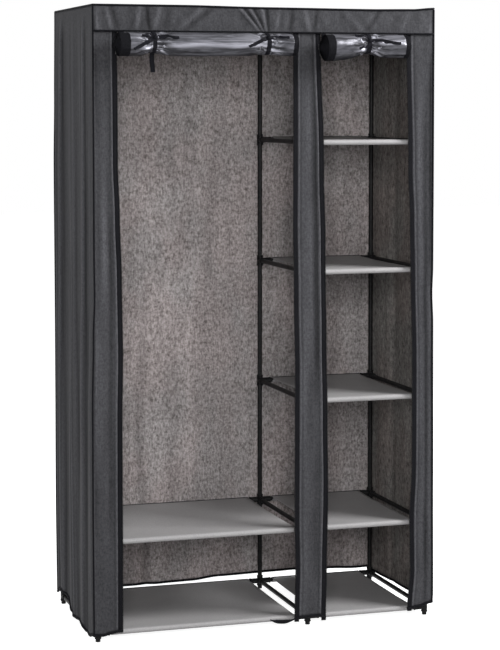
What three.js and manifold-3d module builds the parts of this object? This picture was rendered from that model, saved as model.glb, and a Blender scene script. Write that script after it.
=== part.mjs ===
import * as THREE from "three";
import { mergeVertices } from "three/addons/utils/BufferGeometryUtils.js";
import Module from "manifold-3d";

// Portable fabric wardrobe: a push-together tube frame with cloth shelves under a zipped cloth cover.
// Millimetres, X to the right, Y to the back, Z up. The front faces -Y.
const wasm = await Module();
wasm.setup();

// Driving dimensions of the whole wardrobe
const wardrobeHeight = 1750;
const frameWidth = 972; // left post axis to right post axis
const hangingBayWidth = 612.5; // left post axis to middle post axis
const frameDepth = 441; // front post axis to rear post axis
const bottomRailHeight = 23.5; // floor to the axis of the bottom rails
const lowerRailHeight = 275.5; // floor to the axis of the lower shelf's rails
const upperTiers = 4; // equal steps from the lower shelf to the top

// Steel tube, shared by posts, rails and rungs
const tubeRadius = 6.5;
const tubeWall = 0.6;
const tubeSides = 8;
const fitClearance = 0.3;
const cutOverrun = 5;

// Moulded connectors on the posts
const sleeveWall = 1.8;
const sleeveHalfHeight = 16;
const armWall = 1.3;
const armReach = 33; // post axis to the end of an arm along a rail
const socketReach = 26; // post axis to the mouth of a rung's socket
const socketFloor = 2.2; // wall left between a post's bore and a rung's socket
const capThickness = 1.8;
const footHeight = 9;
const footRadius = 6.8;
const footFloor = 3;

// Hanging rail of the left bay
const eyeLength = 20;
const railDrop = 14; // rung axis down to the hanging rail's axis
const bracketWidth = 11;

// Cloth
const clothThickness = 1;
const clothGap = 0.4;
const pipingRadius = 1.8;
const hemThickness = 2;
const hemDepth = 8; // height of the doubled hem
const coverSlackLeft = 8.4; // connector sleeve to the cover on each side
const coverSlackRight = 4.4;
const coverSlackFront = 11.6;
const coverSlackBack = 11.6;
const valanceDrop = 70; // cover's top to the seam under the valance
const seamHeight = 4;
const topSag = 6;

// Cloth shelves
const shelfCloth = 0.9;
const shelfWrapGap = 0.4;
const shelfEndGap = 5; // connector arm to the edge of a shelf

// Hems above the floor
const frontHemHeight = 30;
const leftHemHeight = 20;
const rightHemHeight = 36;
const backHemHeight = 42;
const frontHemWave = 2;
const sideHemWave = 5;
const backHemWave = 5;

// Folds of the hanging panels: a broad swell and a finer ripple, which fade towards the top
const sideFoldDepth = 4;
const backFoldDepth = 3.5;
const stripFoldDepth = 2.2;
const valanceFoldDepth = 1.6;
const swellShare = 0.65;
const rippleShare = 0.35;
const rippleFoldShare = 1.7; // ripples to one swell
const rippleStartShare = 0.3;
const foldFadeShare = 0.55;
const sideFolds = 3;
const sideFoldLeanShare = 0.4;
const backFolds = 4;
const backFoldLeanShare = -0.3;
const backHemWaves = 1.5;
const valanceFolds = 4.5;

// Height up the valance above its seam, and how much of its lean back it has there
const valanceLeanShares = [
  [0.1, 0.2],
  [0.55, 0.6],
  [1, 1],
];

// Places of the soft columns across the front strips
const leftStripShares = [0.3, 0.55];
const middleStripShares = [0.35, 0.5, 0.65];
const rightStripShares = [0.45, 0.7];

// Edges of the front strips, from the axis of the post behind, at the seam and at the hem
const leftStripTop = 55;
const leftStripBottom = 66;
const middleStripLeftTop = 51.5;
const middleStripLeftBottom = 44.5;
const middleStripRightTop = 27.5;
const middleStripRightBottom = 48.5;
const rightStripTop = 72;
const rightStripBottom = 59;

// Zip: a coil on the edge of its tape, and a slider that grips it
const zipTapeWidth = 13;
const coilRadius = 1.5;
const sliderGap = 0.35;
const sliderWall = 1.2;
const sliderGrip = 3.5; // how far the slider reaches over the tape past the coil
const sliderHeight = 12;
const sliderDrop = 38; // seam down to the slider's middle
const pullStandOff = 0.3;
const pullThickness = 1.2;
const pullWidth = 5;
const pullLength = 28;
const pullLug = 5;

// Rolled doors: each cloth door is rolled up outwards from its hem and tied under the seam
const rollCloth = 2.2;
const rollTurns = 3.5;
const rollStepsPerTurn = 14;
const rollCoreShare = 0.15;
const rollPassGap = 0.5; // roll to the zip pulls behind it
const leftRollRadius = 35;
const leftRollOverlap = 5; // at its left end, past the left strip's coil
const leftRollInset = 5; // at its right end, short of the middle strip's coil
const rightRollRadius = 36;
const rightRollOverlap = 2;
const rightRollInset = 16;
const rollTelescope = 13; // how far the inner turns stand out of the left end
const curtainSideGap = 1;

// Places of the ties along their rolls
const leftOuterTieShare = 0.193;
const leftInnerTieShare = 0.83;
const rightTieShare = 0.522;

// Place along a roll and radius there, as shares of the roll's length and radius
const leftRollShares = [
  [0, 1],
  [0.12, 1],
  [leftOuterTieShare, 0.82],
  [0.26, 1],
  [0.5, 1],
  [0.76, 0.96],
  [leftInnerTieShare, 0.88],
  [0.9, 0.95],
  [1, 0.94],
];
const rightRollShares = [
  [0, 1.18],
  [0.2, 1.06],
  [0.39, 0.94],
  [rightTieShare, 0.7],
  [0.65, 0.94],
  [1, 0.99],
];

// Ribbon ties: a band round the roll, a knot and two tails
const ribbonWidth = 12;
const ribbonThickness = 0.8;
const ribbonGap = 0.4;
const knotRadius = 4;
const knotTurnShare = 0.56; // place of the knot round the roll, as a share of a turn from the back
const bandTurnShare = 0.75; // the band leaves the roll at its top
const bandSteps = 16;
const tailReach = 60;
const tailBend = 34; // where a tail turns to run along the roll
const tailDrop = 14;
const tailStandOff = 3;
const hangingTailLength = 52;

// Sizes that follow from the ones above
const leftPostX = -frameWidth / 2;
const middlePostX = leftPostX + hangingBayWidth;
const rightPostX = frameWidth / 2;
const frontPostY = -frameDepth / 2;
const rearPostY = frameDepth / 2;
const boreRadius = tubeRadius + fitClearance;
const sleeveRadius = boreRadius + sleeveWall;
const armRadius = tubeRadius + armWall;
const socketStart = boreRadius + socketFloor;
const clothHalf = clothThickness / 2;
const topSheetHeight = wardrobeHeight - pipingRadius;
const topRailHeight = topSheetHeight - clothHalf - clothGap - sleeveRadius;
const panelTop = topSheetHeight - pipingRadius - clothGap;
const seamBottom = wardrobeHeight - valanceDrop;
const underSeam = seamBottom - fitClearance;
const postBottom = footHeight + footFloor + fitClearance;
const postTop = topRailHeight + sleeveRadius - capThickness - fitClearance;
const leftCoverX = leftPostX - sleeveRadius - coverSlackLeft;
const rightCoverX = rightPostX + sleeveRadius + coverSlackRight;
const frontCoverY = frontPostY - sleeveRadius - coverSlackFront;
const backCoverY = rearPostY + sleeveRadius + coverSlackBack;
const sliderHalfDepth = coilRadius + sliderGap + sliderWall;
const pullFront = sliderHalfDepth + pullStandOff + pullThickness;
const curtainY = frontCoverY - pullFront - rollPassGap - rollCloth / 2;
const rollTop = underSeam - ribbonThickness - ribbonGap - fitClearance;

const tierStep = (topRailHeight - lowerRailHeight) / upperTiers;
const levels = {
  bottom: bottomRailHeight,
  lower: lowerRailHeight,
  upper_1: lowerRailHeight + tierStep,
  upper_2: lowerRailHeight + tierStep * 2,
  upper_3: lowerRailHeight + tierStep * 3,
  top: topRailHeight,
};
const longLevels = ["bottom", "lower", "top"];
const sides = { front: { y: frontPostY, inward: 1 }, rear: { y: rearPostY, inward: -1 } };

// Finishes
const finishes = {
  steel: new THREE.MeshStandardMaterial({ color: 0x151517, roughness: 0.45, metalness: 0.3 }),
  cover: new THREE.MeshStandardMaterial({ color: 0x47474c, roughness: 0.9, metalness: 0 }),
  backCloth: new THREE.MeshStandardMaterial({ color: 0x746e6c, roughness: 0.95, metalness: 0 }),
  shelf: new THREE.MeshStandardMaterial({ color: 0x8b8a8b, roughness: 0.85, metalness: 0 }),
  lining: new THREE.MeshStandardMaterial({ color: 0x85848c, roughness: 0.4, metalness: 0.1 }),
  ribbon: new THREE.MeshStandardMaterial({ color: 0x19191c, roughness: 0.6, metalness: 0 }),
  slider: new THREE.MeshStandardMaterial({ color: 0x1c1c1f, roughness: 0.35, metalness: 0.6 }),
};

const wardrobe = new THREE.Group();

// Adds one named piece
function place(name, geometry, material) {
  const mesh = new THREE.Mesh(geometry, material);
  mesh.name = name;
  wardrobe.add(mesh);
  return mesh;
}

// A closed geometry as a solid that can be cut and joined
function solidOf(geometry) {
  const bare = geometry.clone();
  bare.deleteAttribute("normal");
  bare.deleteAttribute("uv");
  const merged = mergeVertices(bare);
  return new wasm.Manifold(
    new wasm.Mesh({
      numProp: 3,
      vertProperties: new Float32Array(merged.attributes.position.array),
      triVerts: new Uint32Array(merged.index.array),
    }),
  );
}

// A solid back as geometry
function geometryOf(solid) {
  const mesh = solid.getMesh();
  const geometry = new THREE.BufferGeometry();
  geometry.setAttribute("position", new THREE.BufferAttribute(new Float32Array(mesh.vertProperties), 3));
  geometry.setIndex(new THREE.BufferAttribute(new Uint32Array(mesh.triVerts), 1));
  geometry.computeVertexNormals();
  return geometry;
}

function joined(geometries) {
  return geometries.map(solidOf).reduce((whole, piece) => whole.add(piece));
}

function cutBy(solid, geometries) {
  return geometries.map(solidOf).reduce((whole, piece) => whole.subtract(piece), solid);
}

// Turns an extrusion's own x, y and depth into the two cross axes and the long axis
const turnTo = {
  x: new THREE.Matrix4().set(0, 0, 1, 0, 1, 0, 0, 0, 0, 1, 0, 0, 0, 0, 0, 1),
  y: new THREE.Matrix4().set(0, 1, 0, 0, 0, 0, 1, 0, 1, 0, 0, 0, 0, 0, 0, 1),
  z: new THREE.Matrix4(),
};

function extruded(shape, axis, from, to) {
  const geometry = new THREE.ExtrudeGeometry(shape, { depth: to - from, bevelEnabled: false });
  geometry.translate(0, 0, from);
  return geometry.applyMatrix4(turnTo[axis]);
}

// Corners of a tube's section, with a flat side facing each axis
function sectionPoints(radius) {
  return Array.from({ length: tubeSides }, (_, k) => {
    const angle = ((k + 0.5) * 2 * Math.PI) / tubeSides;
    return new THREE.Vector2(radius * Math.cos(angle), radius * Math.sin(angle));
  });
}

// A round bar along one axis; across holds its place on the two cross axes
function bar(radius, axis, from, to, across, hollowRadius = 0) {
  const move = (point) => point.add(across);
  const shape = new THREE.Shape(sectionPoints(radius).map(move));
  if (hollowRadius) shape.holes.push(new THREE.Path(sectionPoints(hollowRadius).map(move)));
  return extruded(shape, axis, from, to);
}

function block(low, high) {
  const size = high.clone().sub(low);
  const middle = high.clone().add(low).multiplyScalar(0.5);
  return new THREE.BoxGeometry(size.x, size.y, size.z).translate(middle.x, middle.y, middle.z);
}

// Posts run the whole height, through the sleeve of a connector at each level
function makePosts() {
  const posts = { left: leftPostX, middle: middlePostX, right: rightPostX };
  for (const [side, { y }] of Object.entries(sides)) {
    for (const [name, x] of Object.entries(posts)) {
      const across = new THREE.Vector2(x, y);
      const tube = bar(tubeRadius, "z", postBottom, postTop, across, tubeRadius - tubeWall);
      place(`post_${side}_${name}`, tube, finishes.steel);
    }
  }
}

// A connector's outside: sleeve on the post, socket for the rung, arms towards its neighbours
function connectorBody(x, y, inward, level, arms) {
  const z = levels[level];
  const low = level === "bottom" ? footHeight : z - sleeveHalfHeight;
  const high = level === "top" ? z + sleeveRadius : z + sleeveHalfHeight;
  const socket = [y, y + inward * socketReach].sort((a, b) => a - b);
  const pieces = [
    bar(sleeveRadius, "z", low, high, new THREE.Vector2(x, y)),
    bar(sleeveRadius, "y", ...socket, new THREE.Vector2(z, x)),
  ];
  for (const direction of arms) {
    const reach = [x, x + direction * armReach].sort((a, b) => a - b);
    pieces.push(bar(armRadius, "x", ...reach, new THREE.Vector2(y, z)));
  }
  if (level === "bottom") {
    pieces.push(bar(footRadius, "z", 0, footHeight + footFloor, new THREE.Vector2(x, y)));
  }
  return pieces;
}

// A connector's bores: one for the post and one for the rung
function connectorBores(x, y, inward, level) {
  const z = levels[level];
  const low = level === "bottom" ? footHeight + footFloor : z - sleeveHalfHeight - cutOverrun;
  const high = level === "top" ? z + sleeveRadius - capThickness : z + sleeveHalfHeight + cutOverrun;
  const reach = [y + inward * socketStart, y + inward * (socketReach + cutOverrun)].sort((a, b) => a - b);
  return [
    bar(boreRadius, "z", low, high, new THREE.Vector2(x, y)),
    bar(boreRadius, "y", ...reach, new THREE.Vector2(z, x)),
  ];
}

// A rail is its tube and the connectors it is pushed into; long rails cross both bays
function makeRails() {
  for (const [side, { y, inward }] of Object.entries(sides)) {
    for (const [level, z] of Object.entries(levels)) {
      const long = longLevels.includes(level);
      const postXs = long ? [leftPostX, middlePostX, rightPostX] : [middlePostX, rightPostX];
      const ends = [postXs[0], postXs[postXs.length - 1]];
      const body = [bar(tubeRadius, "x", ...ends, new THREE.Vector2(y, z))];
      const cuts = [bar(tubeRadius - tubeWall, "x", ...ends, new THREE.Vector2(y, z))];
      postXs.forEach((x, k) => {
        const arms = [k > 0 ? -1 : 0, k < postXs.length - 1 ? 1 : 0].filter((direction) => direction);
        body.push(...connectorBody(x, y, inward, level, arms));
        cuts.push(...connectorBores(x, y, inward, level));
      });
      place(`rail_${side}_${level}`, geometryOf(cutBy(joined(body), cuts)), finishes.steel);
    }
  }
}

// Rungs join front to rear at every connector
function makeRungs() {
  const from = frontPostY + socketStart + fitClearance;
  const to = rearPostY - socketStart - fitClearance;
  const columns = { left: leftPostX, middle: middlePostX, right: rightPostX };
  for (const [name, x] of Object.entries(columns)) {
    for (const [level, z] of Object.entries(levels)) {
      if (name === "left" && !longLevels.includes(level)) continue;
      const across = new THREE.Vector2(z, x);
      const tube = bar(tubeRadius, "y", from, to, across, tubeRadius - tubeWall);
      place(`rung_${name}_${level}`, tube, finishes.steel);
    }
  }
}

// The hanging rail's eyes are threaded on the top rungs, and its tube hangs just below them
function makeHangingRail() {
  const z = topRailHeight;
  const tubeZ = z - railDrop;
  const eyeHalf = eyeLength / 2;
  const ends = [leftPostX - bracketWidth / 2, middlePostX + bracketWidth / 2];
  const body = [bar(tubeRadius, "x", ...ends, new THREE.Vector2(0, tubeZ))];
  const bore = [ends[0] - cutOverrun, ends[1] + cutOverrun];
  const cuts = [bar(tubeRadius - tubeWall, "x", ...bore, new THREE.Vector2(0, tubeZ))];
  for (const x of [leftPostX, middlePostX]) {
    const across = new THREE.Vector2(z, x);
    body.push(bar(sleeveRadius, "y", -eyeHalf, eyeHalf, across));
    const low = new THREE.Vector3(x - bracketWidth / 2, -eyeHalf, tubeZ - tubeRadius);
    const high = new THREE.Vector3(x + bracketWidth / 2, eyeHalf, z);
    body.push(block(low, high));
    cuts.push(bar(boreRadius, "y", -eyeHalf - cutOverrun, eyeHalf + cutOverrun, across));
  }
  place("hanging_rail", geometryOf(cutBy(joined(body), cuts)), finishes.steel);
}

// A shelf is one cloth with a tunnel round the front rail and one round the rear rail
function shelfOutline() {
  const outer = tubeRadius + shelfWrapGap + shelfCloth;
  const ring = sectionPoints(outer);
  const flatTop = Math.max(...ring.map((point) => point.y));
  const topCorner = ring.find((point) => point.x > 0 && point.y > flatTop - shelfCloth / 2);
  const nextCorner = ring[ring.indexOf(topCorner) - 1];
  const slope = (nextCorner.x - topCorner.x) / (topCorner.y - nextCorner.y);
  const meeting = new THREE.Vector2(topCorner.x + shelfCloth * slope, flatTop - shelfCloth);
  // Round the front tunnel from the sheet's underside to its top
  const count = ring.length;
  const start = ring.indexOf(nextCorner);
  const loop = [meeting];
  for (let k = 0; k < count - 1; k++) loop.push(ring[(start - k + count) % count]);
  const front = loop.map((point) => new THREE.Vector2(frontPostY + point.x, point.y));
  const rear = loop.map((point) => new THREE.Vector2(rearPostY - point.x, point.y)).reverse();
  return [...front, ...rear];
}

function makeShelf(name, fromX, toX, z) {
  const shape = new THREE.Shape(shelfOutline().map((point) => new THREE.Vector2(point.x, z + point.y)));
  for (const { y } of Object.values(sides)) {
    const hole = sectionPoints(tubeRadius + shelfWrapGap);
    shape.holes.push(new THREE.Path(hole.map((point) => new THREE.Vector2(y + point.x, z + point.y))));
  }
  place(name, extruded(shape, "x", fromX, toX), finishes.shelf);
}

function makeShelves() {
  const inset = armReach + shelfEndGap;
  for (const level of ["bottom", "lower"]) {
    makeShelf(`shelf_left_${level}`, leftPostX + inset, middlePostX - inset, levels[level]);
  }
  for (const level of Object.keys(levels).filter((name) => name !== "top")) {
    makeShelf(`shelf_right_${level}`, middlePostX + inset, rightPostX - inset, levels[level]);
  }
}

// A cloth panel: a grid of middle points given a thickness along its outward direction.
// Columns, rows and outward make a right-handed set. at(column, row) gives the middle point.
function panelGeometry(columns, rows, outward, at, half) {
  const wide = columns.length;
  const high = rows.length;
  const positions = [];
  for (const sign of [1, -1]) {
    for (const row of rows) {
      for (const column of columns) {
        const reach = sign * half(column, row);
        positions.push(...at(column, row).addScaledVector(outward, reach).toArray());
      }
    }
  }
  const indices = [];
  const face = (a, b, c, d) => indices.push(a, b, c, a, c, d);
  const front = (i, j) => j * wide + i;
  const back = (i, j) => wide * high + j * wide + i;
  for (let j = 0; j < high - 1; j++) {
    for (let i = 0; i < wide - 1; i++) {
      face(front(i, j), front(i + 1, j), front(i + 1, j + 1), front(i, j + 1));
      face(back(i, j), back(i, j + 1), back(i + 1, j + 1), back(i + 1, j));
    }
  }
  for (let i = 0; i < wide - 1; i++) {
    face(front(i, 0), back(i, 0), back(i + 1, 0), front(i + 1, 0));
    face(front(i, high - 1), front(i + 1, high - 1), back(i + 1, high - 1), back(i, high - 1));
  }
  for (let j = 0; j < high - 1; j++) {
    face(front(0, j), front(0, j + 1), back(0, j + 1), back(0, j));
    face(front(wide - 1, j), back(wide - 1, j), back(wide - 1, j + 1), front(wide - 1, j + 1));
  }
  const geometry = new THREE.BufferGeometry();
  geometry.setAttribute("position", new THREE.Float32BufferAttribute(positions, 3));
  geometry.setIndex(indices);
  geometry.computeVertexNormals();
  return geometry;
}

// Even shares from 0 to 1
function evenShares(count) {
  return Array.from({ length: count + 1 }, (_, k) => k / count);
}

// Places across a panel: share of the width, shift from there and half thickness
const clothColumn = (share) => ({ share, shift: 0, half: clothHalf });
const leftPiping = [
  { share: 0, shift: 0, half: clothHalf },
  { share: 0, shift: pipingRadius, half: pipingRadius },
  { share: 0, shift: 2 * pipingRadius, half: clothHalf },
];
const leftCoil = [
  { share: 0, shift: 0, half: clothHalf },
  { share: 0, shift: coilRadius, half: coilRadius },
  { share: 0, shift: 2 * coilRadius, half: clothHalf },
  { share: 0, shift: zipTapeWidth, half: clothHalf },
];
const mirrored = (columns) =>
  columns.map(({ shift, half }) => ({ share: 1, shift: -shift, half })).reverse();

// Rows up a hanging panel: the hem is doubled, then even steps up to the top
function hangingRows(count) {
  const hem = { share: 0, shift: 0, half: hemThickness / 2 };
  const hemTop = { share: 0, shift: hemDepth, half: clothHalf };
  const rest = evenShares(count).slice(1).map((share) => ({ share, shift: 0, half: clothHalf }));
  return [hem, hemTop, ...rest];
}

// Soft vertical folds, zero at both edges and deepest near the hem
function foldDepth(across, up, depth, folds, lean) {
  const swell = Math.sin(2 * Math.PI * (folds * across + lean * up)) * swellShare;
  const rippleTurns = rippleFoldShare * folds * across - lean * up + rippleStartShare;
  const ripple = Math.sin(2 * Math.PI * rippleTurns) * rippleShare;
  return depth * (swell + ripple) * Math.sin(Math.PI * across) * (1 - foldFadeShare * up);
}

const mix = (from, to, share) => from + (to - from) * share;

// A side panel hangs between the piped corners
function makeSidePanel(name, x, outwardSign, hemHeight) {
  const nearY = frontCoverY + pipingRadius + clothGap;
  const farY = backCoverY - pipingRadius - clothGap;
  const ends = outwardSign > 0 ? [nearY, farY] : [farY, nearY];
  const at = (column, row) => {
    const y = mix(...ends, column.share);
    const bottom = hemHeight + sideHemWave * Math.sin(2 * Math.PI * sideFolds * column.share);
    const z = mix(bottom, panelTop, row.share) + row.shift;
    const push = foldDepth(column.share, row.share, sideFoldDepth, sideFolds, sideFoldLeanShare);
    return new THREE.Vector3(x + outwardSign * push, y, z);
  };
  const half = (column, row) => Math.max(column.half, row.half);
  const columns = evenShares(14).map(clothColumn);
  const outward = new THREE.Vector3(outwardSign, 0, 0);
  place(name, panelGeometry(columns, hangingRows(7), outward, at, half), finishes.cover);
}

function makeBackPanel() {
  const ends = [rightCoverX + pipingRadius, leftCoverX - pipingRadius];
  const columns = [...leftPiping, ...evenShares(14).slice(1, -1).map(clothColumn), ...mirrored(leftPiping)];
  const at = (column, row) => {
    const x = mix(...ends, column.share) - column.shift;
    const wave = backHemWave * Math.sin(2 * Math.PI * backHemWaves * column.share);
    const z = mix(backHemHeight + wave, panelTop, row.share) + row.shift;
    const push = foldDepth(column.share, row.share, backFoldDepth, backFolds, backFoldLeanShare);
    return new THREE.Vector3(x, backCoverY + push, z);
  };
  const half = (column, row) => Math.max(column.half, row.half);
  const outward = new THREE.Vector3(0, 1, 0);
  place("cover_back", panelGeometry(columns, hangingRows(6), outward, at, half), finishes.backCloth);
}

// The top lies on the rails and rungs, sags a little between them and is piped all round
function makeTopPanel() {
  const edgeLines = (edge, inwards) =>
    leftPiping.map(({ shift, half }) => ({ at: edge + inwards * shift, half, dip: 0 }));
  const flatLine = (at) => ({ at, half: clothHalf, dip: 0 });
  const bayLines = (from, to, count) =>
    evenShares(count).slice(1, -1).map((share) => ({
      at: mix(from, to, share),
      half: clothHalf,
      dip: Math.sin(Math.PI * share),
    }));
  const fromPost = sleeveRadius + clothGap;
  const leftBay = [leftPostX + fromPost, middlePostX - fromPost];
  const rightBay = [middlePostX + fromPost, rightPostX - fromPost];
  const depth = [frontPostY + fromPost, rearPostY - fromPost];
  const columns = [
    ...edgeLines(leftCoverX - pipingRadius, 1),
    flatLine(leftBay[0]),
    ...bayLines(...leftBay, 3),
    flatLine(leftBay[1]),
    flatLine(rightBay[0]),
    ...bayLines(...rightBay, 2),
    flatLine(rightBay[1]),
    ...edgeLines(rightCoverX + pipingRadius, -1).reverse(),
  ];
  const rows = [
    ...edgeLines(frontCoverY - pipingRadius, 1),
    flatLine(depth[0]),
    ...bayLines(...depth, 3),
    flatLine(depth[1]),
    ...edgeLines(backCoverY + pipingRadius, -1).reverse(),
  ];
  const at = (column, row) => {
    return new THREE.Vector3(column.at, row.at, topSheetHeight - topSag * column.dip * row.dip);
  };
  const half = (column, row) => Math.max(column.half, row.half);
  const outward = new THREE.Vector3(0, 0, 1);
  place("cover_top", panelGeometry(columns, rows, outward, at, half), finishes.cover);
}

// The valance runs across the front under the top; strips and doors are sewn into its seam
function makeValance() {
  const xEnds = [leftCoverX - pipingRadius, rightCoverX + pipingRadius];
  const seamBack = frontCoverY + hemThickness / 2;
  const seamFront = curtainY - hemThickness / 2;
  const seamHalf = (seamBack - seamFront) / 2;
  const seamY = (seamBack + seamFront) / 2;
  const rows = [
    { share: 0, z: seamBottom, half: seamHalf },
    { share: 0, z: seamBottom + seamHeight, half: seamHalf },
    ...valanceLeanShares.map(([up, share]) => ({
      share,
      z: mix(seamBottom + seamHeight, panelTop, up),
      half: clothHalf,
    })),
  ];
  const columns = [...leftPiping, ...evenShares(18).slice(1, -1).map(clothColumn), ...mirrored(leftPiping)];
  const at = (column, row) => {
    const x = mix(...xEnds, column.share) + column.shift;
    const billow = Math.sin(2 * Math.PI * valanceFolds * column.share) * Math.sin(Math.PI * row.share);
    return new THREE.Vector3(x, mix(seamY, frontCoverY, row.share) - valanceFoldDepth * billow, row.z);
  };
  const half = (column, row) => Math.max(column.half, row.half);
  const outward = new THREE.Vector3(0, -1, 0);
  place("cover_valance", panelGeometry(columns, rows, outward, at, half), finishes.cover);
}

// Front strips: the places of their two edges at the seam and at the hem
const strips = {
  left: {
    top: [leftCoverX - pipingRadius, leftPostX + leftStripTop],
    bottom: [leftCoverX - pipingRadius, leftPostX + leftStripBottom],
    columns: [...leftPiping, ...leftStripShares.map(clothColumn), ...mirrored(leftCoil)],
  },
  middle: {
    top: [middlePostX - middleStripLeftTop, middlePostX + middleStripRightTop],
    bottom: [middlePostX - middleStripLeftBottom, middlePostX + middleStripRightBottom],
    columns: [...leftCoil, ...middleStripShares.map(clothColumn), ...mirrored(leftCoil)],
  },
  right: {
    top: [rightPostX - rightStripTop, rightCoverX + pipingRadius],
    bottom: [rightPostX - rightStripBottom, rightCoverX + pipingRadius],
    columns: [...leftCoil, ...rightStripShares.map(clothColumn), ...mirrored(leftPiping)],
  },
};

function makeStrips() {
  for (const [name, { top, bottom, columns }] of Object.entries(strips)) {
    const at = (column, row) => {
      const bottomHeight = frontHemHeight + frontHemWave * Math.sin(2 * Math.PI * column.share);
      const z = mix(bottomHeight, underSeam, row.share) + row.shift;
      const up = (z - frontHemHeight) / (underSeam - frontHemHeight);
      const x = mix(mix(bottom[0], top[0], up), mix(bottom[1], top[1], up), column.share) + column.shift;
      const soft = column.share > 0 && column.share < 1 ? 1 : 0;
      const push = soft * stripFoldDepth * Math.sin(2 * Math.PI * (2 * up + column.share));
      return new THREE.Vector3(x, frontCoverY - push, z);
    };
    const half = (column, row) => Math.max(column.half, row.half);
    const outward = new THREE.Vector3(0, -1, 0);
    place(`front_strip_${name}`, panelGeometry(columns, hangingRows(8), outward, at, half), finishes.cover);
  }
}

// A zip slider in its own frame: the tape comes from the side that towards points to
function sliderGeometry(towards) {
  const halfHeight = sliderHeight / 2;
  const span = (near, far, y, z) => {
    const [low, high] = [towards * near, towards * far].sort((a, b) => a - b);
    return block(new THREE.Vector3(low, y[0], z[0]), new THREE.Vector3(high, y[1], z[1]));
  };
  const tabFront = -pullFront;
  const tabBack = tabFront + pullThickness;
  const outer = -sliderGap - sliderWall;
  const coilEnd = 2 * coilRadius + sliderGap;
  const middle = (outer + coilEnd + sliderGrip) / 2;
  const lugHalf = pullLug / 2;
  const pullSides = [middle - pullWidth / 2, middle + pullWidth / 2];
  const body = joined([
    span(outer, coilEnd + sliderGrip, [-sliderHalfDepth, sliderHalfDepth], [-halfHeight, halfHeight]),
    span(middle - lugHalf, middle + lugHalf, [tabFront, 0], [-lugHalf, lugHalf]),
    span(...pullSides, [tabFront, tabBack], [lugHalf - pullLength, lugHalf]),
  ]);
  const coilHalf = coilRadius + sliderGap;
  const tapeHalf = clothHalf + sliderGap;
  const long = halfHeight + cutOverrun;
  return geometryOf(
    cutBy(body, [
      span(-sliderGap, coilEnd, [-coilHalf, coilHalf], [-long, long]),
      span(0, coilEnd + sliderGrip + cutOverrun, [-tapeHalf, tapeHalf], [-long, long]),
    ]),
  );
}

// Four sliders, parked under the rolls on the coils of the strips
function makeSliders() {
  const tracks = {
    zip_slider_left_outer: { edge: [strips.left.bottom[1], strips.left.top[1]], towards: -1 },
    zip_slider_left_inner: { edge: [strips.middle.bottom[0], strips.middle.top[0]], towards: 1 },
    zip_slider_right_inner: { edge: [strips.middle.bottom[1], strips.middle.top[1]], towards: -1 },
    zip_slider_right_outer: { edge: [strips.right.bottom[0], strips.right.top[0]], towards: 1 },
  };
  const z = underSeam - sliderDrop;
  const up = (z - frontHemHeight) / (underSeam - frontHemHeight);
  for (const [name, { edge, towards }] of Object.entries(tracks)) {
    const mesh = place(name, sliderGeometry(towards), finishes.slider);
    mesh.position.set(mix(...edge, up), frontCoverY, z);
    mesh.rotation.y = Math.atan2(edge[1] - edge[0], underSeam - frontHemHeight);
  }
}

// One turn of a roll takes this share of its radius; the top is three quarters of a turn from the back
const turnShare = (1 - rollCoreShare) / rollTurns;
const topTurnShare = 0.75;

// Middle of the roll's axis and its cloth, where the radius is given: the back stays on the
// curtain's plane and the top stays under the seam
function rollCentre(radius) {
  const topRadius = radius * (1 - topTurnShare * turnShare);
  return { y: curtainY - radius, z: rollTop - topRadius - rollCloth / 2 };
}

// A point beside the spiral: turn counts from the back, down and round to the front
function spiralPoint(radius, turn, beside) {
  const centre = rollCentre(radius);
  const reach = radius * (1 - turnShare * turn) + beside;
  const angle = 2 * Math.PI * turn;
  return new THREE.Vector2(centre.y + reach * Math.cos(angle), centre.z - reach * Math.sin(angle));
}

// Rings along a roll; where a tie grips it, two rings keep it straight under the ribbon
function rollStations(ends, radius, shares, ties) {
  const grip = ribbonWidth / 2 + ribbonGap;
  return shares.flatMap(([along, size]) => {
    const shifts = ties.includes(along) ? [-grip, grip] : [0];
    return shifts.map((shift) => ({ x: mix(...ends, along) + shift, radius: radius * size }));
  });
}

function makeRoll(name, stations) {
  const steps = Math.round(rollTurns * rollStepsPerTurn);
  const positions = [];
  stations.forEach(({ x, radius }, s) => {
    for (const side of [1, -1]) {
      for (let k = 0; k <= steps; k++) {
        const turn = (k / steps) * rollTurns;
        const point = spiralPoint(radius, turn, (side * rollCloth) / 2);
        const shift = s === 0 ? (-rollTelescope * k) / steps : 0;
        positions.push(x + shift, point.x, point.y);
      }
    }
  });
  const ring = 2 * (steps + 1);
  const indices = [];
  const face = (a, b, c, d) => indices.push(a, b, c, a, c, d);
  const outer = (s, k) => s * ring + k;
  const inner = (s, k) => s * ring + steps + 1 + k;
  const last = stations.length - 1;
  for (let s = 0; s < last; s++) {
    for (let k = 0; k < steps; k++) {
      face(outer(s, k), outer(s + 1, k), outer(s + 1, k + 1), outer(s, k + 1));
      face(inner(s, k), inner(s, k + 1), inner(s + 1, k + 1), inner(s + 1, k));
    }
    face(outer(s, 0), inner(s, 0), inner(s + 1, 0), outer(s + 1, 0));
    face(outer(s, steps), outer(s + 1, steps), inner(s + 1, steps), inner(s, steps));
  }
  for (let k = 0; k < steps; k++) {
    face(outer(0, k), outer(0, k + 1), inner(0, k + 1), inner(0, k));
    face(outer(last, k), inner(last, k), inner(last, k + 1), outer(last, k + 1));
  }
  const geometry = new THREE.BufferGeometry();
  geometry.setAttribute("position", new THREE.Float32BufferAttribute(positions, 3));
  geometry.setIndex(indices);
  geometry.computeVertexNormals();
  place(name, geometry, finishes.lining);
}

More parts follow.
